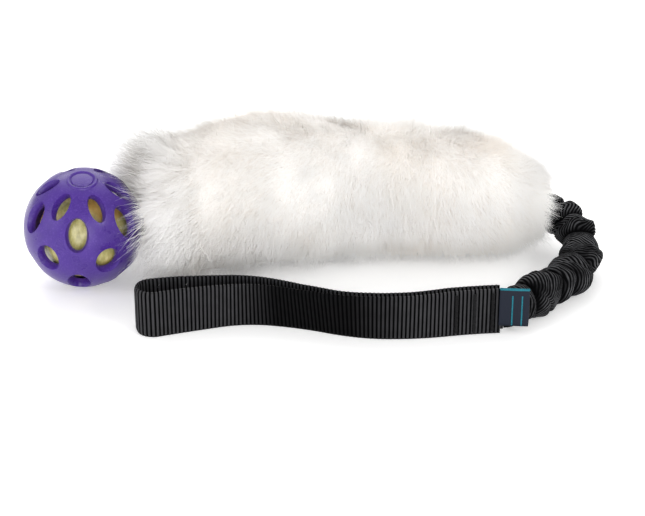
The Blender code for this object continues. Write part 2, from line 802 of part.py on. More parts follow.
def tether_strut():
    """The strut that the tether goes round: its direction from the ball's centre, the direction
    across it, and half its width."""
    beside, lower = HOLE_RINGS[2], HOLE_RINGS[3]
    first = on_ball(beside[0], first_azimuth())
    second = on_ball(lower[0], first_azimuth() + 180.0 / HOLES_IN_RING)
    half_angle = first.angle(second) / 2
    hole = sum(beside[2]) / 2
    level = BALL_RADIUS - CAGE_WALL / 2
    half = level * math.tan(half_angle) - hole / math.cos(half_angle)
    return (first + second).normalized(), (second - first).normalized(), half


def tether_contour(strut_half, root, extra):
    """Half outline of the tape's loop, as (across, out from the ball's centre): round the strut
    inside the cage, then closing in on the root."""
    wide = strut_half + TETHER_SLACK + extra
    top = BALL_RADIUS - CAGE_WALL * 0.7
    deep = top - (CAGE_INNER - TETHER_INSET) + extra
    steps = 12
    contour = []
    for k in range(steps + 1):
        angle = math.pi * k / steps
        c = math.cos(angle)
        s = math.sin(angle)
        contour.append((math.copysign(abs(c) ** 0.5, c) * wide, top - deep * abs(s) ** 0.5))
    shoulder = BALL_RADIUS + TETHER_SLACK * 0.3
    contour += [(-wide, shoulder), (-TETHER_ROOT - extra, root + extra)]
    contour += [(TETHER_ROOT + extra, root + extra), (wide, shoulder)]
    return contour


def make_tether():
    """A loop of tape round a strut of the cage, sewn to the end of the strap in the fur sleeve."""
    centre = ball_centre()
    end, _ = fur_line(FUR_LENGTH)
    strut, across, strut_half = tether_strut()
    run = strut.cross(across).normalized()
    root = (end - centre).length - ROOT_GAP - TETHER_TAPE
    lean = (end - centre).normalized() - strut
    loops = []
    for extra in (TETHER_TAPE, 0.0):
        loop = []
        for wide, out in tether_contour(strut_half, root, extra):
            share = smooth_step((out - BALL_RADIUS) / (root - BALL_RADIUS))
            loop.append(centre + (strut + lean * share) * out + across * wide)
        loops.append(loop)
    outer, inner = loops
    half = run * TETHER_WIDTH / 2
    rings = [
        [p - half for p in outer],
        [p + half for p in outer],
        [p + half for p in inner],
        [p - half for p in inner],
    ]
    n = len(outer)
    points = [p for ring in rings for p in ring]
    faces = []
    for i in range(4):
        a = i * n
        b = (i + 1) % 4 * n
        faces += [(a + (k + 1) % n, b + (k + 1) % n, b + k, a + k) for k in range(n)]
    add_mesh("tether_loop", points, faces, BLACK_WEBBING, end)


def main():
    for old in list(bpy.data.objects):
        bpy.data.objects.remove(old, do_unlink=True)
    make_hand_loop()
    make_sleeve_tail()
    make_stitch_rows()
    make_label()
    make_gathers()
    make_elastic_core()
    make_inner_strap()
    make_fur_sleeve()
    make_ball_cage()
    make_crackle_ball()
    make_tether()


main()
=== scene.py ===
"""Looks of the bungee tug toy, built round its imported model. Metres, in the part's own frame."""

import math

import bpy
import numpy as np
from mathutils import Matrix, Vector


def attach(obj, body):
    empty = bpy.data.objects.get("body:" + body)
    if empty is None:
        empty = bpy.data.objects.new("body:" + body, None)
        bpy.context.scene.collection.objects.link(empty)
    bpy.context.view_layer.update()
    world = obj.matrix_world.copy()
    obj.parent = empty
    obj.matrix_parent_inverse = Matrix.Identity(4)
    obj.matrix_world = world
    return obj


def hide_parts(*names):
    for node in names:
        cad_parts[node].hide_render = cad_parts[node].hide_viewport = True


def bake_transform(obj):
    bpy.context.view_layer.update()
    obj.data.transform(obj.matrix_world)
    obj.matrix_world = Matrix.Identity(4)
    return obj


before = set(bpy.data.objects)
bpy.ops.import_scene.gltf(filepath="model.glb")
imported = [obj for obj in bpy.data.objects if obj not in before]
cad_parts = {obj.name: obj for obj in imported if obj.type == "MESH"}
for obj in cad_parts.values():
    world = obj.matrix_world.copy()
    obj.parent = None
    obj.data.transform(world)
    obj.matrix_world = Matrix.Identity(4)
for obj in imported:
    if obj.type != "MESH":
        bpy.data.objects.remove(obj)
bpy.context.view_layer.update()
rng = np.random.default_rng(7)

# The part's own driving dimensions, repeated from its source
SEAM_X = 0.0958
SEAM_Y = -0.0645
SEAM_HEADING = 4.0
WEBBING_WIDTH = 0.025
WEBBING_THICKNESS = 0.0022
SEWN_SPREAD = 0.0044
LOOP_END_GAP = 0.0022
LOOP_ARCS = ((0.030, 8.0), (0.030, -13.0), (0.030, -24.0), (0.030, 11.0), (0.030, 28.0), (0.0325, 2.0))
LOOP_CLOSED_LENGTH = 0.080
LOOP_TIP_GAP = 0.0165
LOOP_LEAN = (
    (0.000, 0.0), (0.030, 0.0), (0.048, 0.0020), (0.068, 0.0030), (0.085, 0.0048), (0.104, 0.0058),
    (0.130, 0.0038), (0.147, 0.0028), (0.170, 0.0),
)
LABEL_WIDTH = 0.015
LABEL_HEIGHT = 0.0205
LABEL_THICKNESS = 0.0012
LABEL_FOOT = 0.0055
LABEL_OVERLAP = 0.0032
LABEL_OFFSET = 0.0042
LABEL_HEADING = -5.0
SLEEVE_CREST = 0.0108
SLEEVE_START_HEADING = 47.0
BUNGEE_ARCS = (
    (0.018, 0.5), (0.017, -0.5), (0.018, 3.5), (0.019, 19.5), (0.018, 25.0), (0.015, 22.5), (0.013, 29.0),
    (0.007, 21.0),
)
GATHERS = (0.017, 0.020, 0.010, 0.020, 0.025, 0.014, 0.011, 0.008)
FUR_START_HEADING = 167.5
FUR_ARCS = ((0.025, 20.5), (0.035, -18.5), (0.045, 21.5), (0.040, 4.0), (0.040, 8.0), (0.035, -5.0))
FUR_GIRTH = (
    (0.000, 0.0290), (0.020, 0.0340), (0.040, 0.0368), (0.065, 0.0378), (0.097, 0.0388), (0.125, 0.0420),
    (0.148, 0.0445), (0.172, 0.0435), (0.190, 0.0412), (0.220, 0.0380),
)
FUR_SEAT = 0.93
FUR_CREASES = (0.074, 0.149)
STRAP_LEVEL = 0.0245
BALL_RADIUS = 0.03175
CAGE_WALL = 0.0045
TETHER_GAP = 0.0034
POLE_TILT = 14.4
POLE_LEAN = -79.0
DISC_RADIUS = 0.0084
DISC_RIM = 0.0015
DISC_RISE = 0.0007
HOLES_IN_RING = 6
CRACKLE_PLAY = 0.0029
CLEARANCE = 0.0003
# Rings of holes: polar angle, half a step aside, opening and countersink half sizes (across, along)
HOLE_RINGS = (
    (36.0, False, (0.0032, 0.0070), (0.0044, 0.0086)),
    (60.0, True, (0.0048, 0.0082), (0.0064, 0.0104)),
    (90.0, False, (0.0056, 0.0064), (0.0072, 0.0080)),
    (120.0, True, (0.0048, 0.0082), (0.0064, 0.0104)),
    (144.0, False, (0.0032, 0.0070), (0.0044, 0.0086)),
)

# Camera, from the photograph
CAMERA_PLACE = (0.0038, -0.894, 0.4276)
CAMERA_DOWN = 25.0
CAMERA_LENS = 102.14
SENSOR = 36.0

# Step of the lines, and plane waves in each smooth noise
LINE_STEP = 0.0005
WAVES = 10

# Webbing and label: what only the looks have
WEBBING_RIB = 0.00207
WEBBING_YARN = 0.00060
RIB_SAMPLES = 10
RIB_DEPTH = 0.00042
RIB_BEAD = 0.00022
WEBBING_EDGE = 0.0009
TAPE_RUN = 0.40
LABEL_PLY = 0.00034
LABEL_SWELL = 0.00018
LABEL_ROUND = 0.0006
LABEL_EDGE_THREAD = 0.0007
LABEL_STRIPES = (0.405, 0.70)

# Gathered sleeve
SLEEVE_RIB = 0.00190
SLEEVE_RIB_DEPTH = 0.00042
SLEEVE_STEP = 0.00026
SLEEVE_SIDES = 220
SLEEVE_FLAT_END = 0.011
SLEEVE_FLAT_HALF = (0.0016, 0.0110)
SLEEVE_PLEAT = 0.0007
SLEEVE_WANDER = 0.0007
SLEEVE_GRAIN = 0.00022
HINGE_HALF = 0.0035
BLEND_MARGIN = 0.0035
# For each lobe: screw starts of its ribs round the sleeve, whether they mirror at its crest, the crest's
# radius, lean of the crest along the line, and the side that leans most
LOBES = (
    (3, False, 0.0106, 0.0000, 0.0),
    (20, False, 0.0114, 0.0012, 2.6),
    (2, False, 0.0106, 0.0020, 2.2),
    (4, False, 0.0116, 0.0014, 2.4),
    (14, True, 0.0114, 0.0000, 2.0),
    (26, True, 0.0113, 0.0000, 1.8),
    (26, True, 0.0111, 0.0000, 1.6),
    (22, True, 0.0107, 0.0000, 1.4),
)
# Radius of the sleeve in the notch before each lobe and after the last one
NOTCHES = (0.0092, 0.0060, 0.0070, 0.0056, 0.0058, 0.0060, 0.0062, 0.0064, 0.0070)
# Slant of each notch: how far it runs along the line, and the side that leads
SLANTS = (
    (0.0, 0.0), (0.0022, 1.6), (0.0030, 2.2), (0.0024, 2.6), (0.0034, -1.5), (0.0050, -1.5), (0.0050, -1.4),
    (0.0045, -1.4), (0.0020, -1.4),
)
# Folds across the longer lobes, each a narrow dip: place, angle, slope, width, half length, depth
FOLDS = (
    (0.0085, 2.2, 0.10, 0.0016, 0.020, 0.0022),
    (0.0260, 3.4, 0.55, 0.0013, 0.014, 0.0020),
    (0.0290, 1.6, -0.45, 0.0012, 0.010, 0.0015),
    (0.0560, 2.0, 0.35, 0.0014, 0.009, 0.0020),
    (0.0760, 2.3, -0.30, 0.0014, 0.008, 0.0012),
    (0.0830, 2.6, 0.30, 0.0014, 0.009, 0.0012),
)

# Fur: backing, ends, locks and hairs
GIRTH_SPREAD = 0.009
FUR_BODY_SHARE = 0.90
FUR_BODY_ROWS = 90
FUR_BODY_SIDES = 64
FUR_LUMPS = 0.0016
FUR_BLEND_HALF = 0.022
FUR_MEAN_GIRTH = 0.040
# How each end closes: length of the rounding, and share of the girth left at the very end
ROUND_MOUTH = (0.042, 0.42)
ROUND_END = (0.020, 0.35)
LOCK_SPACING = 0.0046
LOCK_SPREAD = 0.0034
LOCK_CLOSING = 0.28
STRANDS_PER_LOCK = 46
MOST_STRANDS = 27000
STRAND_SEGMENTS = 4
STRAND_WIDTH = 0.00018
STRAY_SHARE = 0.30
PILE_LENGTH = 0.0122
PILE_STANDING = 0.80
PILE_LEAN = 0.65
PILE_TIP_STANDING = 0.34
PILE_FALL = 0.75
PILE_SWIRL = (0.30, 0.32)
PILE_DROOP = (0.30, 0.25)
PILE_SOFTNESS = 0.82
PILE_HANG = -0.05
PILE_TOP = 0.087
PILE_SINK = 0.55

# Ball
BALL_SIDES = 112
DISC_GROOVE = 0.00035
HOLE_SIDES = 44
HOLE_WALL = 0.0034
CRACKLE_SIDES = 96
CRACKLE_WAVES = 0.0004
CRACKLE_WRINKLES = 0.00022
CRACKLE_SHRINK = 0.0007

# Light: strength of the world, and softboxes as name, place, aim, size and power
WORLD_STRENGTH = 0.82
SOFTBOXES = (
    ("back", (-0.1, 0.95, 1.0), (0.0, 0.0, 0.03), 1.4, 12.0),
    ("front_right", (0.75, -0.85, 0.75), (0.0, 0.0, 0.02), 0.3, 3.4),
    ("front_left", (-1.0, -0.5, 0.5), (-0.1, 0.0, 0.03), 0.8, 3.0),
    ("front", (0.0, -1.25, 0.20), (0.0, 0.0, 0.03), 0.9, 10.0),
)
# The floor's own glow, seen by the camera only: distances from the middle, then strengths there
FLOOR_GLOW = (("From Min", 0.17), ("From Max", 0.45), ("To Min", 0.30), ("To Max", 0.60))


# Lines

def along(x, y, heading, arcs, distance):
    """Plan point and heading at a distance along a chain of arcs; runs straight past both ends."""
    here = math.radians(heading)
    left = distance
    for length, turn in arcs:
        part = min(max(left, 0.0), length)
        bend = math.radians(turn) * part / length
        chord = part if abs(bend) < 1e-6 else part * math.sin(bend / 2) / (bend / 2)
        x += chord * math.cos(here + bend / 2)
        y += chord * math.sin(here + bend / 2)
        here += bend
        left -= part
    return Vector((x + left * math.cos(here), y + left * math.sin(here), 0.0)), here


BUNGEE_LENGTH = sum(length for length, _ in BUNGEE_ARCS)
FUR_LENGTH = sum(length for length, _ in FUR_ARCS)
LOOP_LENGTH = sum(length for length, _ in LOOP_ARCS)
CAGE_INNER = BALL_RADIUS - CAGE_WALL
CRACKLE_RADIUS = CAGE_INNER - CRACKLE_PLAY
FUR_MIDDLE = sum(FUR_CREASES) / 2
UP = np.array([0.0, 0.0, 1.0])


def unit(vectors):
    return vectors / np.maximum(np.linalg.norm(vectors, axis=-1, keepdims=True), 1e-9)


def read(at, stops, points):
    """Points of a line at distances along it, from its points at known distances."""
    return np.stack([np.interp(at, stops, points[:, k]) for k in range(3)], -1)


def run_of(points):
    """Distance of each point along the line that they make."""
    return np.concatenate([[0], np.cumsum(np.linalg.norm(np.diff(points, axis=0), axis=1))])


def smooth_step(t):
    t = np.clip(t, 0.0, 1.0)
    return t * t * (3 - 2 * t)


def loop_line(distance):
    return along(SEAM_X, SEAM_Y, SEAM_HEADING + 180.0, LOOP_ARCS, distance)


def bungee_line(distance):
    point, heading = along(SEAM_X, SEAM_Y, SLEEVE_START_HEADING, BUNGEE_ARCS, distance)
    rise = float(smooth_step((distance / BUNGEE_LENGTH - 0.45) / 0.60))
    point.z = SLEEVE_CREST + (STRAP_LEVEL - SLEEVE_CREST) * rise
    return point, heading


def fur_line(distance):
    start, _ = along(SEAM_X, SEAM_Y, SLEEVE_START_HEADING, BUNGEE_ARCS, BUNGEE_LENGTH)
    point, heading = along(start.x, start.y, FUR_START_HEADING, FUR_ARCS, distance)
    point.z = STRAP_LEVEL
    return point, heading


def directions(heading):
    forward = Vector((math.cos(heading), math.sin(heading), 0.0))
    return forward, Vector((-forward.y, forward.x, 0.0))


class Line:
    """A line read at many distances at once: its points, forward and left directions."""

    def __init__(self, point_at, low, high):
        self.at = np.arange(low, high + LINE_STEP, LINE_STEP)
        found = [point_at(float(d)) for d in self.at]
        self.points = np.array([tuple(p) for p, _ in found])
        self.heading = np.unwrap([h for _, h in found])

    def __call__(self, distance):
        heading = np.interp(distance, self.at, self.heading)
        cosine, sine, level = np.cos(heading), np.sin(heading), np.zeros_like(heading)
        forward, left = np.stack([cosine, sine, level], -1), np.stack([-sine, cosine, level], -1)
        return read(distance, self.at, self.points), forward, left


bungee = Line(bungee_line, -0.01, BUNGEE_LENGTH + 0.02)
fur = Line(fur_line, -0.03, FUR_LENGTH + 0.04)


def girth(at):
    """Radius of the fur at distances along it, averaged over a short stretch."""
    return sum(np.interp(at + k * GIRTH_SPREAD, *zip(*FUR_GIRTH)) for k in (-1, 0, 1)) / 3


class Waves:
    """Smooth noise from -1 to 1 made of a few plane waves, read at many points at once."""

    def __init__(self, size):
        turn = unit(rng.normal(size=(WAVES, 3)))
        self.waves = turn * 2 * np.pi / (size * rng.uniform(0.7, 1.6, WAVES)[:, None])
        self.phase = rng.uniform(0, 2 * np.pi, WAVES)

    def __call__(self, points):
        return np.sin(points @ self.waves.T + self.phase).sum(-1) / math.sqrt(WAVES * 2)


# Meshes

def placed(name, data):
    made = bpy.data.objects.new(name, data)
    bpy.context.scene.collection.objects.link(made)
    return made


def mesh_object(name, points, quads=(), triangles=(), lay=None):
    """A new object from points, four-sided and three-sided faces, and a lay (u, v) for each point."""
    points = np.asarray(points, np.float32).reshape(-1, 3)
    quads = np.asarray(quads, np.int32).reshape(-1, 4)
    triangles = np.asarray(triangles, np.int32).reshape(-1, 3)
    corners = np.concatenate([quads.ravel(), triangles.ravel()])
    sizes = np.concatenate([np.full(len(quads), 4), np.full(len(triangles), 3)])
    starts = np.concatenate([[0], np.cumsum(sizes)[:-1]])
    mesh = bpy.data.meshes.new(name)
    mesh.vertices.add(len(points))
    mesh.vertices.foreach_set("co", points.ravel())
    mesh.loops.add(len(corners))
    mesh.loops.foreach_set("vertex_index", corners)
    mesh.polygons.add(len(sizes))
    mesh.polygons.foreach_set("loop_start", starts.astype(np.int32))
    mesh.polygons.foreach_set("use_smooth", np.full(len(sizes), True))
    if lay is not None:
        layer = mesh.uv_layers.new(name="lay")
        layer.data.foreach_set("uv", np.asarray(lay, np.float32).reshape(-1, 2)[corners].ravel())
    mesh.update(calc_edges=True)
    mesh.validate()
    return placed(name, mesh)


def grid_faces(rows, columns, closed=False):
    """Faces of a grid of points, one row after another, each row a ring where it is closed."""
    here = np.arange(rows - 1)[:, None] * columns
    c = np.arange(columns if closed else columns - 1)[None, :]
    c2 = (c + 1) % columns
    return np.stack([here + c, here + c2, here + columns + c2, here + columns + c], -1).reshape(-1, 4)


def tape(name, lines, lay):
    """A closed tape from the lines of points round its cross-section, up one face and down the other."""
    rows, count = len(lines[0]), len(lines)
    shift = (rows - 1) * count
    ends = []
    for k in range(count // 2 - 1):
        a, b, c, d = k, k + 1, count - 2 - k, count - 1 - k
        ends += [(a, d, c, b), (a + shift, b + shift, c + shift, d + shift)]
    faces = np.concatenate([grid_faces(rows, count, closed=True), ends])
    return mesh_object(name, np.stack(lines, 1), faces, lay=np.stack(lay, 1))


# Materials

looks = {}


class Look:
    """A Principled material with helpers for the few nodes that these looks use."""

    def __init__(self, name, colour, roughness, **sockets):
        material = looks[name] = bpy.data.materials.new(name + "_look")
        material.use_nodes = True
        material.diffuse_color = (*colour, 1.0)
        self.tree = material.node_tree
        self.shader = self.tree.nodes["Principled BSDF"]
        self.set(self.shader, "Base Color", (*colour, 1.0))
        self.set(self.shader, "Roughness", roughness)
        for socket, value in sockets.items():
            self.set(self.shader, socket.replace("_", " "), value)

    def set(self, node, socket, value):
        node.inputs[socket].default_value = value

    def join(self, source, target):
        self.tree.links.new(source, target)

    def node(self, kind, **values):
        made = self.tree.nodes.new("ShaderNode" + kind)
        for key, value in values.items():
            setattr(made, key, value)
        return made

    def lay(self):
        return self.node("UVMap", uv_map="lay").outputs["UV"]

    def lay_parts(self):
        split = self.node("SeparateXYZ")
        self.join(self.lay(), split.inputs[0])
        return split.outputs["X"], split.outputs["Y"]

    def place(self):
        return self.node("TexCoord").outputs["Object"]

    def scaled(self, vector, scale):
        mapping = self.node("Mapping")
        self.set(mapping, "Scale", scale)
        self.join(vector, mapping.inputs["Vector"])
        return mapping.outputs["Vector"]

    def texture(self, kind, vector, scale, output="Fac", sockets=(), **values):
        made = self.node("Tex" + kind, **values)
        for socket, value in (("Scale", scale), *sockets):
            self.set(made, socket, value)
        self.join(vector, made.inputs["Vector"])
        return made.outputs[output]

    def noise(self, vector, scale, detail=2.0, roughness=0.5):
        return self.texture("Noise", vector, scale, sockets=(("Detail", detail), ("Roughness", roughness)))

    def ramp(self, factor, *stops):
        """A colour ramp through stops of (place, colour), where a grey is a plain number."""
        made = self.node("ValToRGB")
        elements = made.color_ramp.elements
        while len(elements) < len(stops):
            elements.new(0.5)
        for element, (at, colour) in zip(elements, stops):
            element.position = at
            element.color = (*colour, 1.0) if isinstance(colour, tuple) else (colour, colour, colour, 1.0)
        self.join(factor, made.inputs["Fac"])
        return made.outputs["Color"]

    def mix(self, factor, first, second, blend="MIX"):
        made = self.node("Mix", data_type="RGBA", blend_type=blend)
        for socket, value in ((made.inputs[0], factor), (made.inputs[6], first), (made.inputs[7], second)):
            if isinstance(value, (int, float)):
                socket.default_value = value
            elif isinstance(value, tuple):
                socket.default_value = (*value, 1.0)
            else:
                self.join(value, socket)
        return made.outputs[2]

    def maths(self, operation, first, second=0.5, third=0.5):
        made = self.node("Math", operation=operation)
        for socket, value in zip(made.inputs, (first, second, third)):
            if isinstance(value, (int, float)):
                socket.default_value = value
            else:
                self.join(value, socket)
        return made.outputs[0]

    def times(self, first, *others):
        for other in others:
            first = self.maths("MULTIPLY", first, other)
        return first

    def crest(self, ribs):
        """From 0 in each groove to 1 on each rib, by a count of ribs."""
        return self.maths("MULTIPLY_ADD", self.maths("COSINE", self.times(ribs, 2 * math.pi)), 0.5)

    def bump(self, *heights):
        """Bumps on the surface from (height, strength, distance) each."""
        normal = None
        for height, strength, distance in heights:
            made = self.node("Bump")
            self.set(made, "Strength", strength)
            self.set(made, "Distance", distance)
            self.join(height, made.inputs["Height"])
            if normal is not None:
                self.join(normal, made.inputs["Normal"])
            normal = made.outputs["Normal"]
        self.drive("Normal", normal)

    def drive(self, socket, source):
        self.join(source, self.shader.inputs[socket])

    def colour(self, source):
        self.drive("Base Color", source)

    def add_shader(self, kind, other):
        """The Principled shader and another one, mixed or added."""
        both = self.node(kind)
        self.join(self.shader.outputs[0], both.inputs[-2])
        self.join(other.outputs[0], both.inputs[-1])
        self.join(both.outputs[0], self.tree.nodes["Material Output"].inputs["Surface"])
        return both


def rib_look(name, groove, ridge):
    """Ribbed nylon. The lay's u counts ribs, so that the painted sheen on their tops and the painted shade in
    the grooves follow them, and its v is the distance along each rib in metres, with fine yarns across it."""
    look = Look(name, ridge, 0.55, Specular_IOR_Level=0.20)
    ribs, _ = look.lay_parts()
    metres = look.scaled(look.lay(), (WEBBING_RIB, 1.0, 1.0))
    threads = look.scaled(metres, (500.0, 2 * math.pi / WEBBING_YARN / 20.0, 1.0))
    yarns = look.texture("Wave", threads, 1.0, sockets=(("Distortion", 1.4),), bands_direction="Y")
    patches = look.noise(metres, 170.0, 3.0)
    grain = look.noise(metres, 2600.0, 2.0)
    dim = tuple(0.62 * c for c in ridge)
    dark = tuple(0.4 * c for c in ridge)
    wear_and_painted_shade = look.ramp(patches, (0.38, dim), (0.66, ridge))
    wear_and_painted_shade = look.mix(0.45, wear_and_painted_shade, look.ramp(yarns, (0.15, dark), (0.85, ridge)))
    # Painted shade halfway along the outer ply, where the strap leans away from the light: its colour and sheen
    # are darker there
    painted_ply_shade = look.ramp(look.times(ribs, WEBBING_RIB / TAPE_RUN),
                       (0.11, 1.0), (0.19, 0.15), (0.29, 0.15), (0.35, 1.0))
    wear_and_painted_shade = look.mix(1.0, wear_and_painted_shade, painted_ply_shade, "MULTIPLY")
    # Painted sheen on the rib tops and painted shade in the grooves: the tops take the lighter colour and all
    # the specular, the grooves the near-black groove colour
    raised = look.ramp(look.crest(ribs), (0.30, 0.0), (0.58, 1.0))
    look.colour(look.mix(raised, groove, wear_and_painted_shade))
    look.drive("Specular IOR Level", look.times(raised, painted_ply_shade, 0.22))
    look.bump((yarns, 0.5, 0.00010), (grain, 0.35, 0.00006))


def gathered_look(name, groove, ridge):
    """The same nylon drawn together. The lay's u counts ribs and its v is the height in the lobe,
    so that painted sheen lights the ribs on the lobes and painted shade darkens them in the creases."""
    look = Look(name, ridge, 0.55, Specular_IOR_Level=0.20)
    ribs, share = look.lay_parts()
    # Painted sheen on thin lines along the ribs, fading into painted shade towards the notches and broken into
    # random patches
    thin = look.ramp(look.crest(ribs), (0.42, 0.0), (0.86, 1.0))
    height = look.ramp(share, (0.35, 0.02), (0.90, 1.0))
    patches = look.ramp(look.noise(look.place(), 150.0, 3.0), (0.36, 0.22), (0.62, 1.0))
    grain = look.noise(look.place(), 2400.0, 2.0)
    raised = look.times(thin, height, patches)
    look.colour(look.mix(raised, groove, ridge))
    look.drive("Specular IOR Level", look.times(raised, 0.25))
    look.bump((grain, 0.4, 0.00008))


def make_materials():
    rib_look("black_webbing", (0.0017, 0.0017, 0.0019), (0.041, 0.041, 0.045))
    gathered_look("black_sleeve", (0.0025, 0.0025, 0.0028), (0.066, 0.067, 0.072))
    thread = Look("black_thread", (0.007, 0.007, 0.008), 0.6, Specular_IOR_Level=0.12)
    twist = thread.texture("Wave", thread.place(), 900.0, bands_direction="DIAGONAL")
    thread.colour(thread.ramp(twist, (0.2, (0.0035, 0.0035, 0.004)), (0.9, (0.012, 0.012, 0.013))))
    thread.bump((twist, 0.6, 0.0001))

    label = Look("navy_label", (0.007, 0.010, 0.020), 0.62, Specular_IOR_Level=0.2)
    weave = label.texture("Wave", label.lay(), 1100.0, bands_direction="X")
    cross = label.noise(label.scaled(label.lay(), (1.0, 5.0, 1.0)), 1500.0, 1.0)
    navy = (0.004, 0.006, 0.012)
    warp = label.ramp(weave, (0.1, navy), (0.9, (0.010, 0.014, 0.027)))
    label.colour(label.mix(0.5, warp, label.ramp(cross, (0.3, navy), (0.7, (0.011, 0.015, 0.029)))))
    label.bump((weave, 0.4, 0.00006), (cross, 0.3, 0.00005))

    teal = Look("teal_thread", (0.008, 0.16, 0.21), 0.55, Specular_IOR_Level=0.2)
    twist = teal.noise(teal.place(), 2400.0, 1.0)
    teal.colour(teal.ramp(twist, (0.3, (0.005, 0.10, 0.14)), (0.75, (0.012, 0.21, 0.27))))
    teal.bump((twist, 0.4, 0.00008))

    rubber = Look("purple_rubber", (0.065, 0.025, 0.24), 0.40, Specular_IOR_Level=0.34)
    pores = rubber.noise(rubber.place(), 1300.0, 3.0, 0.6)
    cloud = rubber.noise(rubber.place(), 110.0, 3.0)
    specks = rubber.noise(rubber.place(), 1100.0, 2.0)
    body = rubber.ramp(cloud, (0.3, (0.056, 0.021, 0.215)), (0.7, (0.073, 0.028, 0.268)))
    # The light flecks in the colour are painted glints of the grainy surface, and the darker ones are grain in
    # the rubber
    grain_and_painted_glints = rubber.ramp(specks, (0.52, (0.048, 0.017, 0.190)), (0.70, (0.120, 0.064, 0.335)))
    rubber.colour(rubber.mix(0.35, body, grain_and_painted_glints))
    rubber.drive("Roughness", rubber.ramp(cloud, (0.3, 0.24), (0.7, 0.38)))
    rubber.bump((pores, 0.25, 0.00008), (specks, 0.30, 0.00006))

    crackle = Look("crackle", (0.36, 0.33, 0.11), 0.32, Coat_Weight=0.4, Coat_Roughness=0.2)
    streaks = crackle.noise(crackle.scaled(crackle.place(), (1.0, 1.0, 0.35)), 260.0, 4.0, 0.65)
    warm = crackle.noise(crackle.place(), 42.0, 1.0)
    flakes = crackle.texture("Voronoi", crackle.place(), 170.0, "Distance", feature="DISTANCE_TO_EDGE")
    tone = crackle.ramp(streaks, (0.30, (0.36, 0.32, 0.10)), (0.50, (0.62, 0.56, 0.20)),
                        (0.72, (0.90, 0.82, 0.44)))
    crackle.colour(crackle.mix(crackle.ramp(warm, (0.50, 0.0), (0.66, 0.60)), tone, (0.80, 0.36, 0.06)))
    crackle.bump((flakes, 0.25, 0.0006), (streaks, 0.35, 0.0005))

    hair = Look("cream_fur", (0.97, 0.96, 0.94), 0.9, Specular_IOR_Level=0.1)
    tone, reach = hair.lay_parts()
    root_to_tip = hair.ramp(reach, (0.0, (0.94, 0.88, 0.82)), (0.30, (0.97, 0.95, 0.92)),
                            (0.70, (0.985, 0.98, 0.97)))
    tint = hair.ramp(tone, (0.10, (0.96, 0.91, 0.86)), (0.35, (0.99, 0.98, 0.965)), (0.7, 1.0))
    tinted = hair.mix(1.0, root_to_tip, tint, "MULTIPLY")
    hair.colour(tinted)
    # Each hair lets a little light through
    through = hair.node("BsdfTranslucent")
    hair.join(tinted, through.inputs["Color"])
    hair.set(hair.add_shader("MixShader", through), 0, 0.16)

    felt = Look("fur_backing", (0.96, 0.94, 0.91), 0.95)
    fluff = felt.noise(felt.place(), 420.0, 4.0, 0.7)
    felt.colour(felt.ramp(fluff, (0.3, (0.80, 0.76, 0.72)), (0.7, (0.90, 0.88, 0.86))))
    felt.bump((fluff, 0.6, 0.001))


def dress(piece, look):
    piece.data.materials.clear()
    piece.data.materials.append(looks[look])
    return piece


# Hand loop

def half_gap(distance):
    opened = (distance - LOOP_CLOSED_LENGTH) / (LOOP_LENGTH - LOOP_CLOSED_LENGTH)
    return (SEWN_SPREAD + (LOOP_TIP_GAP - SEWN_SPREAD) * max(opened, 0.0) ** 1.2) / 2


def loop_path():
    """Middle of the webbing in plan from the front ply's end round the tip to the back ply's end:
    points and outward directions, finely spaced, with the upper edge's lean."""
    lower, outward, lean = [], [], []
    stops = np.arange(LOOP_END_GAP, LOOP_LENGTH, LINE_STEP)
    for side, order in ((1.0, stops), (-1.0, stops[::-1])):
        for stop in order:
            centre, heading = loop_line(stop)
            _, left = directions(heading)
            lower.append(centre + left * side * half_gap(stop))
            outward.append(left * side)
            lean.append(left * float(np.interp(stop, *zip(*LOOP_LEAN))))
        if side > 0:
            centre, heading = loop_line(LOOP_LENGTH)
            forward, left = directions(heading)
            reach = half_gap(LOOP_LENGTH)
            for k in range(1, 48):
                angle = math.pi * k / 48
                out = left * math.cos(angle) + forward * math.sin(angle)
                lower.append(centre + out * reach)
                outward.append(out)
                lean.append(Vector((0, 0, 0)))
    return [np.array([tuple(v) for v in values]) for values in (lower, outward, lean)]


def make_webbing():
    """The hand loop's webbing, with a rib across it every two millimetres and a beaded edge."""
    path = loop_path()
    run = run_of(path[0])
    at = np.arange(0, run[-1], WEBBING_RIB / RIB_SAMPLES)
    lower, outward, lean = (read(at, run, values) for values in path)
    outward = unit(outward)
    phase = at / WEBBING_RIB
    ridge = np.clip(0.5 + 0.9 * np.cos(2 * np.pi * phase), 0.0, 1.0) ** 0.7
    bead = 0.5 + 0.5 * np.cos(2 * np.pi * phase)
    levels = np.linspace(0.0, 1.0, 15)
    points, lay = [], []
    for side in (1, -1):
        for level in levels[::side]:
            edge = min(level, 1 - level) * WEBBING_WIDTH
            thin = math.sqrt(max(1 - max(1 - edge / WEBBING_EDGE, 0.0) ** 2, 0.0))
            depth = WEBBING_THICKNESS / 2 * (0.35 + 0.65 * thin) - RIB_DEPTH * (1 - ridge) * (0.3 + 0.7 * thin)
            rise = level * WEBBING_WIDTH + (bead * RIB_BEAD - 0.0002 if level == 1.0 else 0.0)
            place = lower + lean * level + outward * (side * depth)[:, None]
            place[:, 2] = np.maximum(rise, 0.0)
            points.append(place)
            up_and_down = (level if side > 0 else 2 - level) * WEBBING_WIDTH
            lay.append(np.stack([phase, np.full_like(at, up_and_down)], -1))
    piece = dress(tape("hand_loop_webbing", points, lay), "black_webbing")
    piece.data.set_sharp_from_angle(angle=math.radians(60))
    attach(piece, "handle")
    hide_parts("handle_webbing")


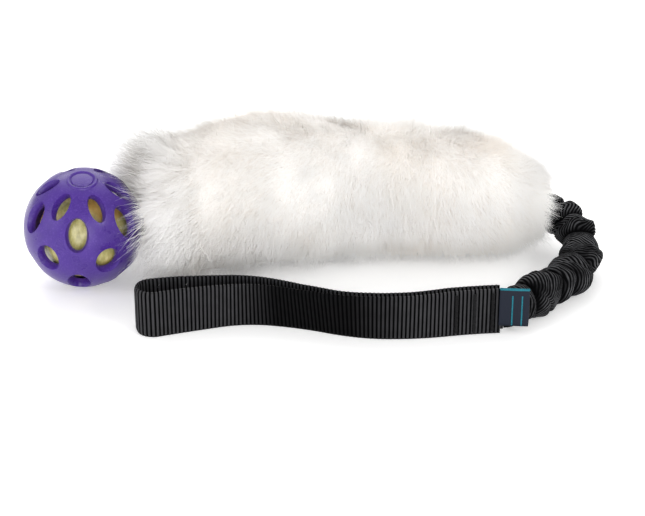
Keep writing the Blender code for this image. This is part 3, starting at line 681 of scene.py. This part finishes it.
def make_label():
    """Woven label folded over at its outer edge, with plain teal stripes and a teal upper edge."""
    forward, left = directions(math.radians(SEAM_HEADING))
    root = Vector((SEAM_X, SEAM_Y, 0.0)) - forward * LABEL_OVERLAP - left * LABEL_OFFSET
    forward, left = directions(math.radians(LABEL_HEADING))
    half = (LABEL_THICKNESS - LABEL_PLY) / 2
    straight = LABEL_WIDTH - LABEL_THICKNESS / 2
    stops = np.linspace(0.0, straight, 22)
    path = [(x, -half - LABEL_SWELL * math.sin(math.pi * x / straight)) for x in stops]
    path += [(straight + half * math.cos(a), half * math.sin(a)) for a in np.linspace(-1.4, 1.4, 9)]
    path += [(x, half - LABEL_SWELL * math.sin(math.pi * x / straight)) for x in stops[::-1]]
    path = np.array(path)
    run = run_of(path)
    tangent = unit(np.gradient(path, axis=0))
    normal = np.stack([tangent[:, 1], -tangent[:, 0]], -1)
    levels = np.linspace(0.0, 1.0, 12)

    def strip(name, chosen, low, high, swell, look):
        points, lay = [], []
        for side in (1, -1):
            for level in levels[::side]:
                edge = min(level, 1 - level) * (high - low)
                thin = min(1.0, 0.45 + edge / LABEL_ROUND)
                place = path[chosen] + normal[chosen] * side * (LABEL_PLY / 2 * thin + swell)
                height = LABEL_FOOT + low + level * (high - low)
                points.append([tuple(root + forward * x + left * y + Vector((0, 0, height))) for x, y in place])
                lay.append([(u, height) for u in run[chosen]])
        piece = dress(tape(name, points, lay), look)
        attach(piece, "label")
        return piece

    whole = slice(0, len(path))
    body = strip("woven_label", whole, 0.0, LABEL_HEIGHT, 0.0, "navy_label")
    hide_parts("label")
    edge = LABEL_HEIGHT - LABEL_EDGE_THREAD
    strip("label_edge_thread", whole, edge, LABEL_HEIGHT + 0.0002, 0.00006, "teal_thread")
    for number, place in enumerate(LABEL_STRIPES):
        first = int(np.searchsorted(run[:len(stops)], place * LABEL_WIDTH))
        strip(f"label_stripe_{number + 1}", slice(first, first + 2), 0.0004, LABEL_HEIGHT - 0.0030, 0.00006,
              "teal_thread")


# Gathered sleeve of the bungee

STARTS = np.concatenate([[0.0], np.cumsum(GATHERS)])


def make_sleeve():
    """The gathered sleeve: rounded lobes with ribs, cut into pieces."""
    low, high = 0.0006, BUNGEE_LENGTH + 0.004
    at = np.arange(low, high, SLEEVE_STEP)
    columns = SLEEVE_SIDES + 1
    theta = 2 * np.pi * np.arange(columns) / SLEEVE_SIDES
    s, angle = np.meshgrid(at, theta, indexing="ij")
    wander = Waves(0.012)
    fine = Waves(0.004)
    centre, _, left = bungee(s.ravel())
    cosine, sine = np.cos(angle.ravel())[:, None], np.sin(angle.ravel())[:, None]
    round_place = centre + (left * cosine + UP * sine) * SLEEVE_CREST
    soft = wander(round_place).reshape(s.shape)
    small = fine(round_place).reshape(s.shape)
    lobe = np.clip(np.searchsorted(STARTS, s, side="right") - 1, 0, len(GATHERS) - 1)
    start = STARTS[lobe]
    length = np.array(GATHERS)[lobe]
    share = np.clip((s - start) / length, 0.0, 1.0)
    starts_of, mirrored, crest_of, lean_of, side_of = (np.array(column)[lobe] for column in zip(*LOBES))
    swell = (1 - np.abs(2 * share - 1) ** 2.1) ** 0.66
    notch = np.interp(s, STARTS, NOTCHES)
    radius = notch + (crest_of - notch) * swell
    radius += soft * SLEEVE_WANDER * (0.3 + swell) + small * SLEEVE_GRAIN * swell
    for place, middle, slope, width, reach, depth in FOLDS:
        turn = (angle - middle + np.pi) % (2 * np.pi) - np.pi
        off = s - place - slope * turn * SLEEVE_CREST
        fade = np.exp(-(turn * SLEEVE_CREST / reach) ** 2)
        radius -= depth * np.exp(-(off / width) ** 2) * fade
    slant = sum(np.interp(s, STARTS, [wave(side) * far for far, side in SLANTS]) * wave(angle)
                for wave in (np.cos, np.sin))
    lean = lean_of * swell * np.cos(angle - side_of) + 0.0008 * soft * swell + slant
    crest_distance = (share - 0.5) * length * 1.35
    measure = np.where(mirrored > 0, np.abs(crest_distance), crest_distance)
    pitch_share = np.sqrt(np.clip(1 - (starts_of * SLEEVE_RIB / (2 * np.pi * SLEEVE_CREST)) ** 2, 0.05, 1.0))
    phase = starts_of * angle / (2 * np.pi) + measure * pitch_share / SLEEVE_RIB + 0.55 * soft
    rib = np.clip(0.5 + 0.85 * np.cos(2 * np.pi * phase), 0.0, 1.0) ** 0.8
    radius += SLEEVE_RIB_DEPTH * (rib - 1.0) * (0.45 + 0.55 * swell)
    # The flat end between the plies opens out to the round sleeve
    opened = smooth_step(s / SLEEVE_FLAT_END)
    pleat = SLEEVE_PLEAT * np.cos(9 * angle + 2.0) * (1 - opened) * opened * 4
    wide, tall = ((flat + (radius - flat) * opened + pleat).reshape(-1, 1) for flat in SLEEVE_FLAT_HALF)
    centre, _, left = bungee(s.ravel() + lean.ravel())
    place = centre + left * (wide * cosine) + UP * (tall * sine)
    lift = np.interp(at, [0.0, SLEEVE_FLAT_END], [WEBBING_WIDTH / 2 - SLEEVE_CREST, 0.0])
    place[:, 2] += np.repeat(lift, columns)
    place[:, 2] = np.maximum(place[:, 2], 0.0002)
    place = place.reshape(len(at), columns, 3)
    place[:, -1] = place[:, 0]
    lay = np.stack([phase, swell], -1)

    # A short piece at each hinge, and a longer one over the slide between two
    cuts = [joint + side for joint in STARTS[::2] for side in (-HINGE_HALF, HINGE_HALF)]
    cuts = [c for c in cuts if 0 < c < BUNGEE_LENGTH] + [high + 1]
    edges = [0] + [int(np.searchsorted(at, c)) for c in cuts]
    for number in range(len(edges) - 1):
        first, last = edges[number], min(edges[number + 1] + 1, len(at))
        rows = place[first:last]
        piece = mesh_object(f"gathered_sleeve_{number + 1}", rows, grid_faces(len(rows), columns)[:, ::-1],
                            lay=lay[first:last])
        dress(piece, "black_sleeve")
        low_at, high_at = at[first], at[last - 1]
        inset = min(BLEND_MARGIN * (1.0 if number % 2 else 0.3), (high_at - low_at) * 0.35)
        (start, end), _, _ = bungee(np.array([low_at + inset, high_at - inset]))
        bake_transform(piece)
        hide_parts(f"sleeve_gather_{number}" if number else "elastic_core")


# Fur sleeve

def rounding(at):
    """Share of the full girth near the sleeve's two ends."""
    shares = 1.0
    for away, (length, least) in ((at + 0.001, ROUND_MOUTH), (FUR_LENGTH - 0.001 - at, ROUND_END)):
        near = np.clip(1 - away / length, 0.0, 1.0)
        shares = shares * (least + (1 - least) * np.sqrt(1 - near ** 2))
    return shares


def fur_form(at, angle, share):
    """Points of the fur sleeve at a share of its girth, with outward, forward and round directions."""
    centre, forward, left = fur(at)
    radius = girth(at) * rounding(at) * share
    cosine, sine = np.cos(angle)[:, None], np.sin(angle)[:, None]
    out, around = left * cosine + UP * sine, UP * cosine - left * sine
    centre[:, 2] = FUR_SEAT * girth(at)
    place = centre + out * radius[:, None]
    place[:, 2] = np.maximum(place[:, 2], 0.0010)
    return place, out, forward, around


def fur_blend(piece, number):
    """Bakes a piece of the fur into place; its span round the first crease or the second is found but not used.
    """
    (start, end), _, _ = fur(FUR_CREASES[number] + np.array([-FUR_BLEND_HALF, FUR_BLEND_HALF]))
    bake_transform(piece)


def make_fur_body():
    """The fabric and filling under the pile, in two pieces that meet in the middle length."""
    lumps = Waves(0.030)
    rows = np.linspace(0.0, FUR_LENGTH, FUR_BODY_ROWS)
    sides = np.arange(FUR_BODY_SIDES)
    for number, chosen in enumerate((rows[rows <= FUR_MIDDLE + 0.002], rows[rows >= FUR_MIDDLE - 0.002])):
        grid = np.meshgrid(chosen, 2 * np.pi * sides / FUR_BODY_SIDES, indexing="ij")
        place, out, _, _ = fur_form(*(values.ravel() for values in grid), FUR_BODY_SHARE)
        place += out * (lumps(place) * FUR_LUMPS)[:, None]
        place[:, 2] = np.maximum(place[:, 2], 0.0008)
        # The outer end is closed by a fan round its middle point
        first = 0 if number == 0 else len(place) - FUR_BODY_SIDES
        fan = [np.full(FUR_BODY_SIDES, len(place)), first + (sides + 1) % FUR_BODY_SIDES, first + sides]
        cap = np.stack(fan if number == 0 else [fan[0], fan[2], fan[1]], -1)
        end = place[first:first + FUR_BODY_SIDES].mean(0)
        faces = grid_faces(len(chosen), FUR_BODY_SIDES, closed=True)[:, ::-1]
        piece = mesh_object(f"fur_backing_{number + 1}", np.concatenate([place, end[None]]), faces, cap)
        dress(piece, "fur_backing")
        fur_blend(piece, number)
        if number == 0:
            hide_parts("fur_sleeve_1", "fur_sleeve_2", "inner_strap")
        else:
            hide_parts("fur_sleeve_3")


def strand_mesh(name, roots, first, last, out, length, width, pull, tone):
    """Tapered ribbons from roots, which start in one direction and end in another. Their flat side
    faces outwards. pull moves each tip, as hairs in a lock close up."""
    t = np.linspace(0.0, 1.0, STRAND_SEGMENTS + 1)[None, :, None]
    path = roots[:, None] + length[:, None, None] * (first[:, None] * t + 0.5 * (last - first)[:, None] * t ** 2)
    path = path + pull[:, None] * t ** 1.5
    # Hairs high above the sleeve sink under their own weight, and none goes into the ground
    path[..., 2] -= np.maximum(path[..., 2] - PILE_TOP, 0.0) * PILE_SINK
    path[..., 2] = np.maximum(path[..., 2], 0.0004)
    tangent = np.gradient(path, axis=1)
    side = unit(np.cross(tangent, out[:, None]))
    taper = (1 - t) ** 0.6 * 0.5
    left = path - side * taper * width[:, None, None]
    right = path + side * taper * width[:, None, None]
    n = len(roots)
    body = np.stack([left[:, :-1], right[:, :-1]], 2).reshape(n, -1, 3)
    points = np.concatenate([body, path[:, -1:]], 1)
    per = points.shape[1]
    base = np.arange(n)[:, None] * per
    quads = [base + 2 * k + np.array([[0, 1, 3, 2]]) for k in range(STRAND_SEGMENTS - 1)]
    triangles = base + np.array([[per - 3, per - 2, per - 1]])
    reach = np.concatenate([np.repeat(t[0, :-1, 0], 2), [1.0]])
    lay = np.stack(np.broadcast_arrays(tone[:, None], reach[None, :]), -1)
    piece = mesh_object(name, points, np.concatenate(quads), triangles, lay)
    # Hairs take part of their shading from the pile's own surface, which hangs upright below the
    # sleeve's widest level
    surface = out.copy()
    surface[:, 2] = np.maximum(surface[:, 2], PILE_HANG)
    flat = unit(np.cross(side, tangent))
    soft = unit(flat * (1 - PILE_SOFTNESS) + unit(surface)[:, None] * PILE_SOFTNESS)
    normals = np.concatenate([np.repeat(soft[:, :-1], 2, axis=1), soft[:, -1:]], 1).reshape(-1, 3)
    piece.data.normals_split_custom_set_from_vertices(normals.tolist())
    return dress(piece, "cream_fur")


swirl_one = Waves(0.034)
swirl_two = Waves(0.034)
tone_waves = Waves(0.040)
length_waves = Waves(0.025)

# Locks over the sleeve's first gathers, and over the ball: number, nearest and furthest root, hair lengths
# by angle round the sleeve, spread, pulls along the line and outwards, and lift of the tips
END_LOCKS = (
    (130, 0.0, 0.010, ((0.3, 1.6), (0.0130, 0.0070)), 0.0026, -1.8, 0.35, 0.0),
    (250, FUR_LENGTH - 0.020, FUR_LENGTH - 0.001, ((0.2, 1.2, 2.2), (0.0285, 0.0250, 0.0270)), 0.0028, 2.0,
     0.72, 0.06),
)


def pile(at, angle, base_length, spread, forward_pull, out_pull, lift=0.0):
    """Hairs of the locks whose roots are at these places: their roots, directions and so on."""
    place, out, forward, around = fur_form(at, angle, FUR_BODY_SHARE)
    one, two = PILE_SWIRL[0] * swirl_one(place), PILE_SWIRL[1] * swirl_two(place)
    fall = out * out[:, 2:] - UP
    flow = unit(forward * (forward_pull + one)[:, None] + around * two[:, None] + fall * PILE_FALL)
    droop = UP * (PILE_DROOP[1] * np.clip(out[:, 2], -1, 1) - PILE_DROOP[0])[:, None]
    standing = out * np.broadcast_to(out_pull, len(at))[:, None]
    first = unit(standing + flow * PILE_LEAN + rng.normal(0, 0.10, out.shape))
    last = unit(standing * PILE_TIP_STANDING + flow + droop + rng.normal(0, 0.15, out.shape) + UP * lift)
    long = base_length * (1 + 0.22 * length_waves(place)) * rng.uniform(0.85, 1.12, len(at))
    tone = np.clip(0.62 + 0.34 * tone_waves(place) + rng.normal(0, 0.08, len(at)), 0.02, 0.98)

    each = np.repeat(np.arange(len(at)), STRANDS_PER_LOCK)
    n = len(each)
    ds = rng.normal(0, spread, n)
    da = rng.normal(0, spread, n)
    radius = np.maximum(girth(at) * rounding(at) * FUR_BODY_SHARE, 0.008)[each]
    s = np.clip(at[each] + ds, 0.0, FUR_LENGTH - 0.0005)
    roots, root_out, _, _ = fur_form(s, angle[each] + da / radius, FUR_BODY_SHARE - 0.03)
    stray = (rng.uniform(size=n) < STRAY_SHARE)[:, None]
    pull = -(forward[each] * ds[:, None] + around[each] * da[:, None]) * np.where(stray, 0.0, LOCK_CLOSING)
    jitter = rng.normal(0, 0.12, (n, 3)) * np.where(stray, 2.0, 1.0)
    return dict(
        roots=roots, first=unit(first[each] + jitter),
        last=unit(last[each] + jitter * 1.6 + root_out * np.where(stray, 0.35, 0.0)), out=root_out,
        length=long[each] * rng.uniform(0.65, 1.08, n) * np.where(stray[:, 0], 1.12, 1.0), pull=pull,
        width=STRAND_WIDTH * rng.uniform(0.7, 1.25, n),
        tone=np.clip(tone[each] + rng.normal(0, 0.06, n), 0, 1), at=s,
    )


def make_fur():
    """The pile: locks of fine hairs all over the sleeve, and longer ones at its two ends."""
    make_fur_body()
    # One lock in each cell of a grid laid round the sleeve, somewhere in the cell
    rows = round(FUR_LENGTH / LOCK_SPACING)
    columns = round(2 * math.pi * FUR_MEAN_GIRTH * FUR_BODY_SHARE / LOCK_SPACING)
    count = rows * columns
    row, column = np.divmod(np.arange(count), columns)
    at = (row + rng.uniform(0.0, 1.0, count)) * FUR_LENGTH / rows
    angle = (column + 0.5 * (row % 2) + rng.uniform(0.0, 1.0, count)) * 2 * math.pi / columns
    # Fewer hairs underneath, where the pile is pressed flat
    pressed = np.sin(angle) < -0.80
    keep = ~pressed | (rng.uniform(size=count) < 0.25)
    at, angle = at[keep], angle[keep]
    # Combed towards the nearer end, and shorter and flatter at the mouth
    trend = 1.1 * (at / FUR_LENGTH * 2 - 1) + 0.3
    short = np.interp(at, [0.0, 0.012, 0.040, FUR_LENGTH - 0.030, FUR_LENGTH], [0.66, 0.80, 1.0, 1.0, 0.95])
    standing = np.interp(at, [0.0, 0.040], [0.30, PILE_STANDING])
    parts = [pile(at, angle, PILE_LENGTH * short, LOCK_SPREAD, trend, standing)]

    for count, near, far, lengths, spread, forward_pull, out_pull, lift in END_LOCKS:
        at = rng.uniform(near, far, count)
        angle = rng.uniform(-0.9, math.pi + 0.9, count)
        parts.append(pile(at, angle, np.interp(angle, *lengths), spread, forward_pull, out_pull, lift))

    whole = {key: np.concatenate([p[key] for p in parts]) for key in parts[0]}
    order = np.argsort(whole["at"], kind="stable")
    whole = {key: value[order] for key, value in whole.items()}
    split = int(np.searchsorted(whole["at"], FUR_MIDDLE))
    made = 0
    for number, (low, high) in enumerate(((0, split), (split, len(order)))):
        cuts = np.linspace(low, high, max(1, math.ceil((high - low) / MOST_STRANDS)) + 1).astype(int)
        for a, b in zip(cuts, cuts[1:]):
            made += 1
            rows = {key: value[a:b] for key, value in whole.items() if key != "at"}
            piece = strand_mesh(f"fur_pile_{made}", **rows)
            fur_blend(piece, number)


# Ball

def ball_centre():
    end, heading = fur_line(FUR_LENGTH)
    height = BALL_RADIUS + DISC_RISE
    level = math.sqrt((BALL_RADIUS + TETHER_GAP) ** 2 - (end.z - height) ** 2)
    return Vector((end.x, end.y, height)) + directions(heading)[0] * level


def ball_axes():
    tilt, lean = math.radians(POLE_TILT), math.radians(POLE_LEAN)
    pole = Vector((math.sin(tilt) * math.cos(lean), math.sin(tilt) * math.sin(lean), math.cos(tilt)))
    across = pole.cross((fur_line(FUR_LENGTH)[0] - CENTRE).normalized()).normalized()
    return pole, across.cross(pole).normalized(), across


CENTRE = ball_centre()
POLE, MERIDIAN, ACROSS = ball_axes()


def on_ball(polar, azimuth):
    p, a = math.radians(polar), math.radians(azimuth)
    return POLE * math.cos(p) + (MERIDIAN * math.cos(a) + ACROSS * math.sin(a)) * math.sin(p)


def band(first, sides):
    """Faces between one ring of points and the next."""
    return [(first + k, first + sides + k, first + sides + (k + 1) % sides, first + (k + 1) % sides)
            for k in range(sides)]


def turned(profile, sides, flip=False):
    """Points and faces of a form turned round the pole from (radius, polar) pairs."""
    points = [CENTRE + POLE * profile[0][0]]
    for radius, polar in profile[1:-1]:
        points += [CENTRE + on_ball(polar, 360.0 * k / sides) * radius for k in range(sides)]
    points.append(CENTRE - POLE * profile[-1][0])
    faces = [(0, 1 + k, 1 + (k + 1) % sides) for k in range(sides)]
    for i in range(len(profile) - 3):
        faces += band(1 + i * sides, sides)
    a = 1 + (len(profile) - 3) * sides
    faces += [(a + k, len(points) - 1, a + (k + 1) % sides) for k in range(sides)]
    if flip:
        faces = [face[::-1] for face in faces]
    return points, faces


def sphere(radius, sides, flip=False):
    return turned([(radius, 360.0 * k / sides) for k in range(sides // 2 + 1)], sides, flip)


def cage_profile():
    """Outer profile of the cage, with a rounded raised ring round a plain disc at each pole."""
    rim = math.degrees(DISC_RADIUS / BALL_RADIUS)
    inside = math.degrees((DISC_RADIUS - DISC_RIM) / BALL_RADIUS)
    top = [(BALL_RADIUS, polar) for polar in (0.0, *np.linspace(2.0, inside - 2.6, 5))]
    top.append((BALL_RADIUS - DISC_GROOVE, inside - 1.8))
    for k in range(9):
        t = k / 8
        polar = inside - 1.0 + (rim + 1.0 - inside) * t
        top.append((BALL_RADIUS + DISC_RISE * math.sin(math.pi * t) ** 0.7, polar))
    middle = [(BALL_RADIUS, polar) for polar in np.linspace(rim + 0.8, 179.2 - rim, BALL_SIDES // 2 + 1)]
    return top + middle + [(radius, 180.0 - polar) for radius, polar in top[::-1]]


def hole_cutter(polar, azimuth, opening, countersink):
    """Points and faces of an oval cutter whose edge rounds over into the ball's surface."""
    out = on_ball(polar, azimuth)
    across = POLE.cross(out).normalized()
    up = out.cross(across).normalized()
    wide = countersink[0] - opening[0]
    # A narrow bevel at the rim, then a dished wall down to the opening
    stations = [(BALL_RADIUS + 0.0030, wide * 3.0), (BALL_RADIUS + 0.0003, wide * 1.22),
                (BALL_RADIUS - 0.0002, wide * 1.02)]
    for k in range(1, 8):
        t = k / 7
        stations.append((BALL_RADIUS - 0.0002 - HOLE_WALL * t, wide * (1 - t) ** 1.25))
    stations.append((CAGE_INNER - 0.0040, 0.0))
    points, faces = [], []
    for number, (distance, extra) in enumerate(stations):
        for k in range(HOLE_SIDES):
            angle = 2 * math.pi * k / HOLE_SIDES
            points.append(CENTRE + out * distance + across * ((opening[0] + extra) * math.cos(angle))
                          + up * ((opening[1] + extra) * math.sin(angle)))
        if number > 0:
            faces += band((number - 1) * HOLE_SIDES, HOLE_SIDES)
    faces.append(tuple(range(HOLE_SIDES)))
    faces.append(tuple(range(len(points) - 1, len(points) - HOLE_SIDES - 1, -1)))
    return points, faces


def plain_object(name, points, faces):
    mesh = bpy.data.meshes.new(name)
    mesh.from_pydata([tuple(p) for p in points], [], faces)
    return placed(name, mesh)


def make_ball():
    outer_points, outer_faces = turned(cage_profile(), BALL_SIDES)
    inner_points, inner_faces = sphere(CAGE_INNER, BALL_SIDES, flip=True)
    faces = outer_faces + [tuple(len(outer_points) + k for k in face) for face in inner_faces]
    cage = plain_object("lattice_ball", outer_points + inner_points, faces)
    points, faces = [], []
    step = 360.0 / HOLES_IN_RING
    for polar, aside, opening, countersink in HOLE_RINGS:
        for k in range(HOLES_IN_RING):
            azimuth = step * (k + (0.5 if aside else 0.0)) - 90.0 / HOLES_IN_RING
            more_points, more_faces = hole_cutter(polar, azimuth, opening, countersink)
            faces += [tuple(len(points) + i for i in face) for face in more_faces]
            points += more_points
    cutter = plain_object("lattice_cutter", points, faces)
    cut = cage.modifiers.new("holes", "BOOLEAN")
    cut.operation = "DIFFERENCE"
    cut.solver = "EXACT"
    cut.object = cutter
    bpy.context.view_layer.update()
    shaped = bpy.data.meshes.new_from_object(cage.evaluated_get(bpy.context.evaluated_depsgraph_get()))
    cage.modifiers.clear()
    cage.data = shaped
    bpy.data.objects.remove(cutter)
    shaped.shade_smooth()
    shaped.set_sharp_from_angle(angle=math.radians(38))
    dress(cage, "purple_rubber")
    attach(cage, "ball")
    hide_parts("ball_cage")


def make_crackle():
    """The ball inside: a wrinkled shell."""
    points, faces = sphere(CRACKLE_RADIUS, CRACKLE_SIDES)
    waves = Waves(0.010)
    small = Waves(0.0035)
    array = np.array([tuple(p - CENTRE) for p in points])
    swell = CRACKLE_WAVES * waves(array) + CRACKLE_WRINKLES * np.abs(small(array)) - CRACKLE_SHRINK
    array = array * (1 + swell / CRACKLE_RADIUS)[:, None] + np.array(CENTRE)
    array[:, 2] -= CAGE_INNER - CRACKLE_RADIUS - CLEARANCE
    piece = plain_object("inner_crackle_ball", array, faces)
    piece.data.shade_smooth()
    dress(piece, "crackle")
    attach(piece, "crackle")
    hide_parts("crackle_ball")


# Stage

def make_floor():
    corners = [(x, y, -0.0001) for x, y in ((-6, -6), (6, -6), (6, 6), (-6, 6))]
    floor = plain_object("floor", corners, [(0, 1, 2, 3)])
    look = Look("floor", (0.93, 0.93, 0.93), 0.9, Specular_IOR_Level=0.1)
    grain = look.noise(look.place(), 40.0, 3.0)
    look.colour(look.ramp(grain, (0.3, 0.925), (0.7, 0.935)))
    glow = look.node("Emission")
    look.set(glow, "Color", (1.0, 0.995, 0.99, 1.0))
    # Little glow near the toy, so that its shadows show, and more further away
    away = look.node("VectorMath", operation="LENGTH")
    look.join(look.place(), away.inputs[0])
    spread = look.node("MapRange", interpolation_type="SMOOTHSTEP")
    for socket, value in FLOOR_GLOW:
        look.set(spread, socket, value)
    look.join(away.outputs["Value"], spread.inputs["Value"])
    path = look.node("LightPath")
    seen = look.maths("MAXIMUM", path.outputs["Is Camera Ray"], path.outputs["Is Glossy Ray"])
    look.join(look.times(spread.outputs["Result"], seen), glow.inputs["Strength"])
    look.add_shader("AddShader", glow)
    dress(floor, "floor")


def make_world():
    """Even light all round, and plain white wherever the camera looks past the floor."""
    world = bpy.data.worlds.new("studio")
    bpy.context.scene.world = world
    world.use_nodes = True
    tree = world.node_tree
    tree.nodes.clear()
    kinds = "LightPath", "Math", "Background", "Background", "MixShader", "OutputWorld"
    path, seen, light, white, mix, output = (tree.nodes.new("ShaderNode" + kind) for kind in kinds)
    seen.operation = "MAXIMUM"
    light.inputs["Strength"].default_value = WORLD_STRENGTH
    white.inputs["Strength"].default_value = 1.0
    tree.links.new(path.outputs["Is Camera Ray"], seen.inputs[0])
    tree.links.new(path.outputs["Is Transmission Ray"], seen.inputs[1])
    for number, made in enumerate((seen, light, white)):
        tree.links.new(made.outputs[0], mix.inputs[number])
    tree.links.new(mix.outputs[0], output.inputs[0])


def softbox(name, place, aim, size, power):
    lamp = bpy.data.lights.new(name, "AREA")
    lamp.shape = "SQUARE"
    lamp.size = size
    lamp.energy = power
    made = placed(name, lamp)
    made.location = place
    made.rotation_euler = (Vector(aim) - Vector(place)).to_track_quat("-Z", "Y").to_euler()


def make_camera():
    lens = bpy.data.cameras.new("photo_camera")
    lens.sensor_width = SENSOR
    lens.lens = CAMERA_LENS
    lens.clip_start = 0.01
    camera = placed("photo_camera", lens)
    camera.location = CAMERA_PLACE
    camera.rotation_euler = (math.radians(90.0 - CAMERA_DOWN), 0.0, 0.0)
    bpy.context.scene.camera = camera


def dress_cad():
    """Better materials for the CAD nodes that stay."""
    for name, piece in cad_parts.items():
        if piece.hide_render:
            continue
        if name.startswith("stitch_row"):
            dress(piece, "black_thread")
            continue
        layer = piece.data.uv_layers.get("lay") or piece.data.uv_layers.new(name="lay")
        co = np.array([piece.data.vertices[loop.vertex_index].co[:] for loop in piece.data.loops])
        flat = np.stack([(co[:, 0] + co[:, 1]) / WEBBING_RIB, co[:, 2]], -1)
        layer.data.foreach_set("uv", flat.astype(np.float32).ravel())
        dress(piece, "black_webbing")


make_materials()
make_camera()
make_world()
for box in SOFTBOXES:
    softbox(*box)
make_floor()
make_webbing()
make_label()
make_sleeve()
make_fur()
make_ball()
make_crackle()
dress_cad()

bpy.context.scene.view_settings.view_transform = "Standard"
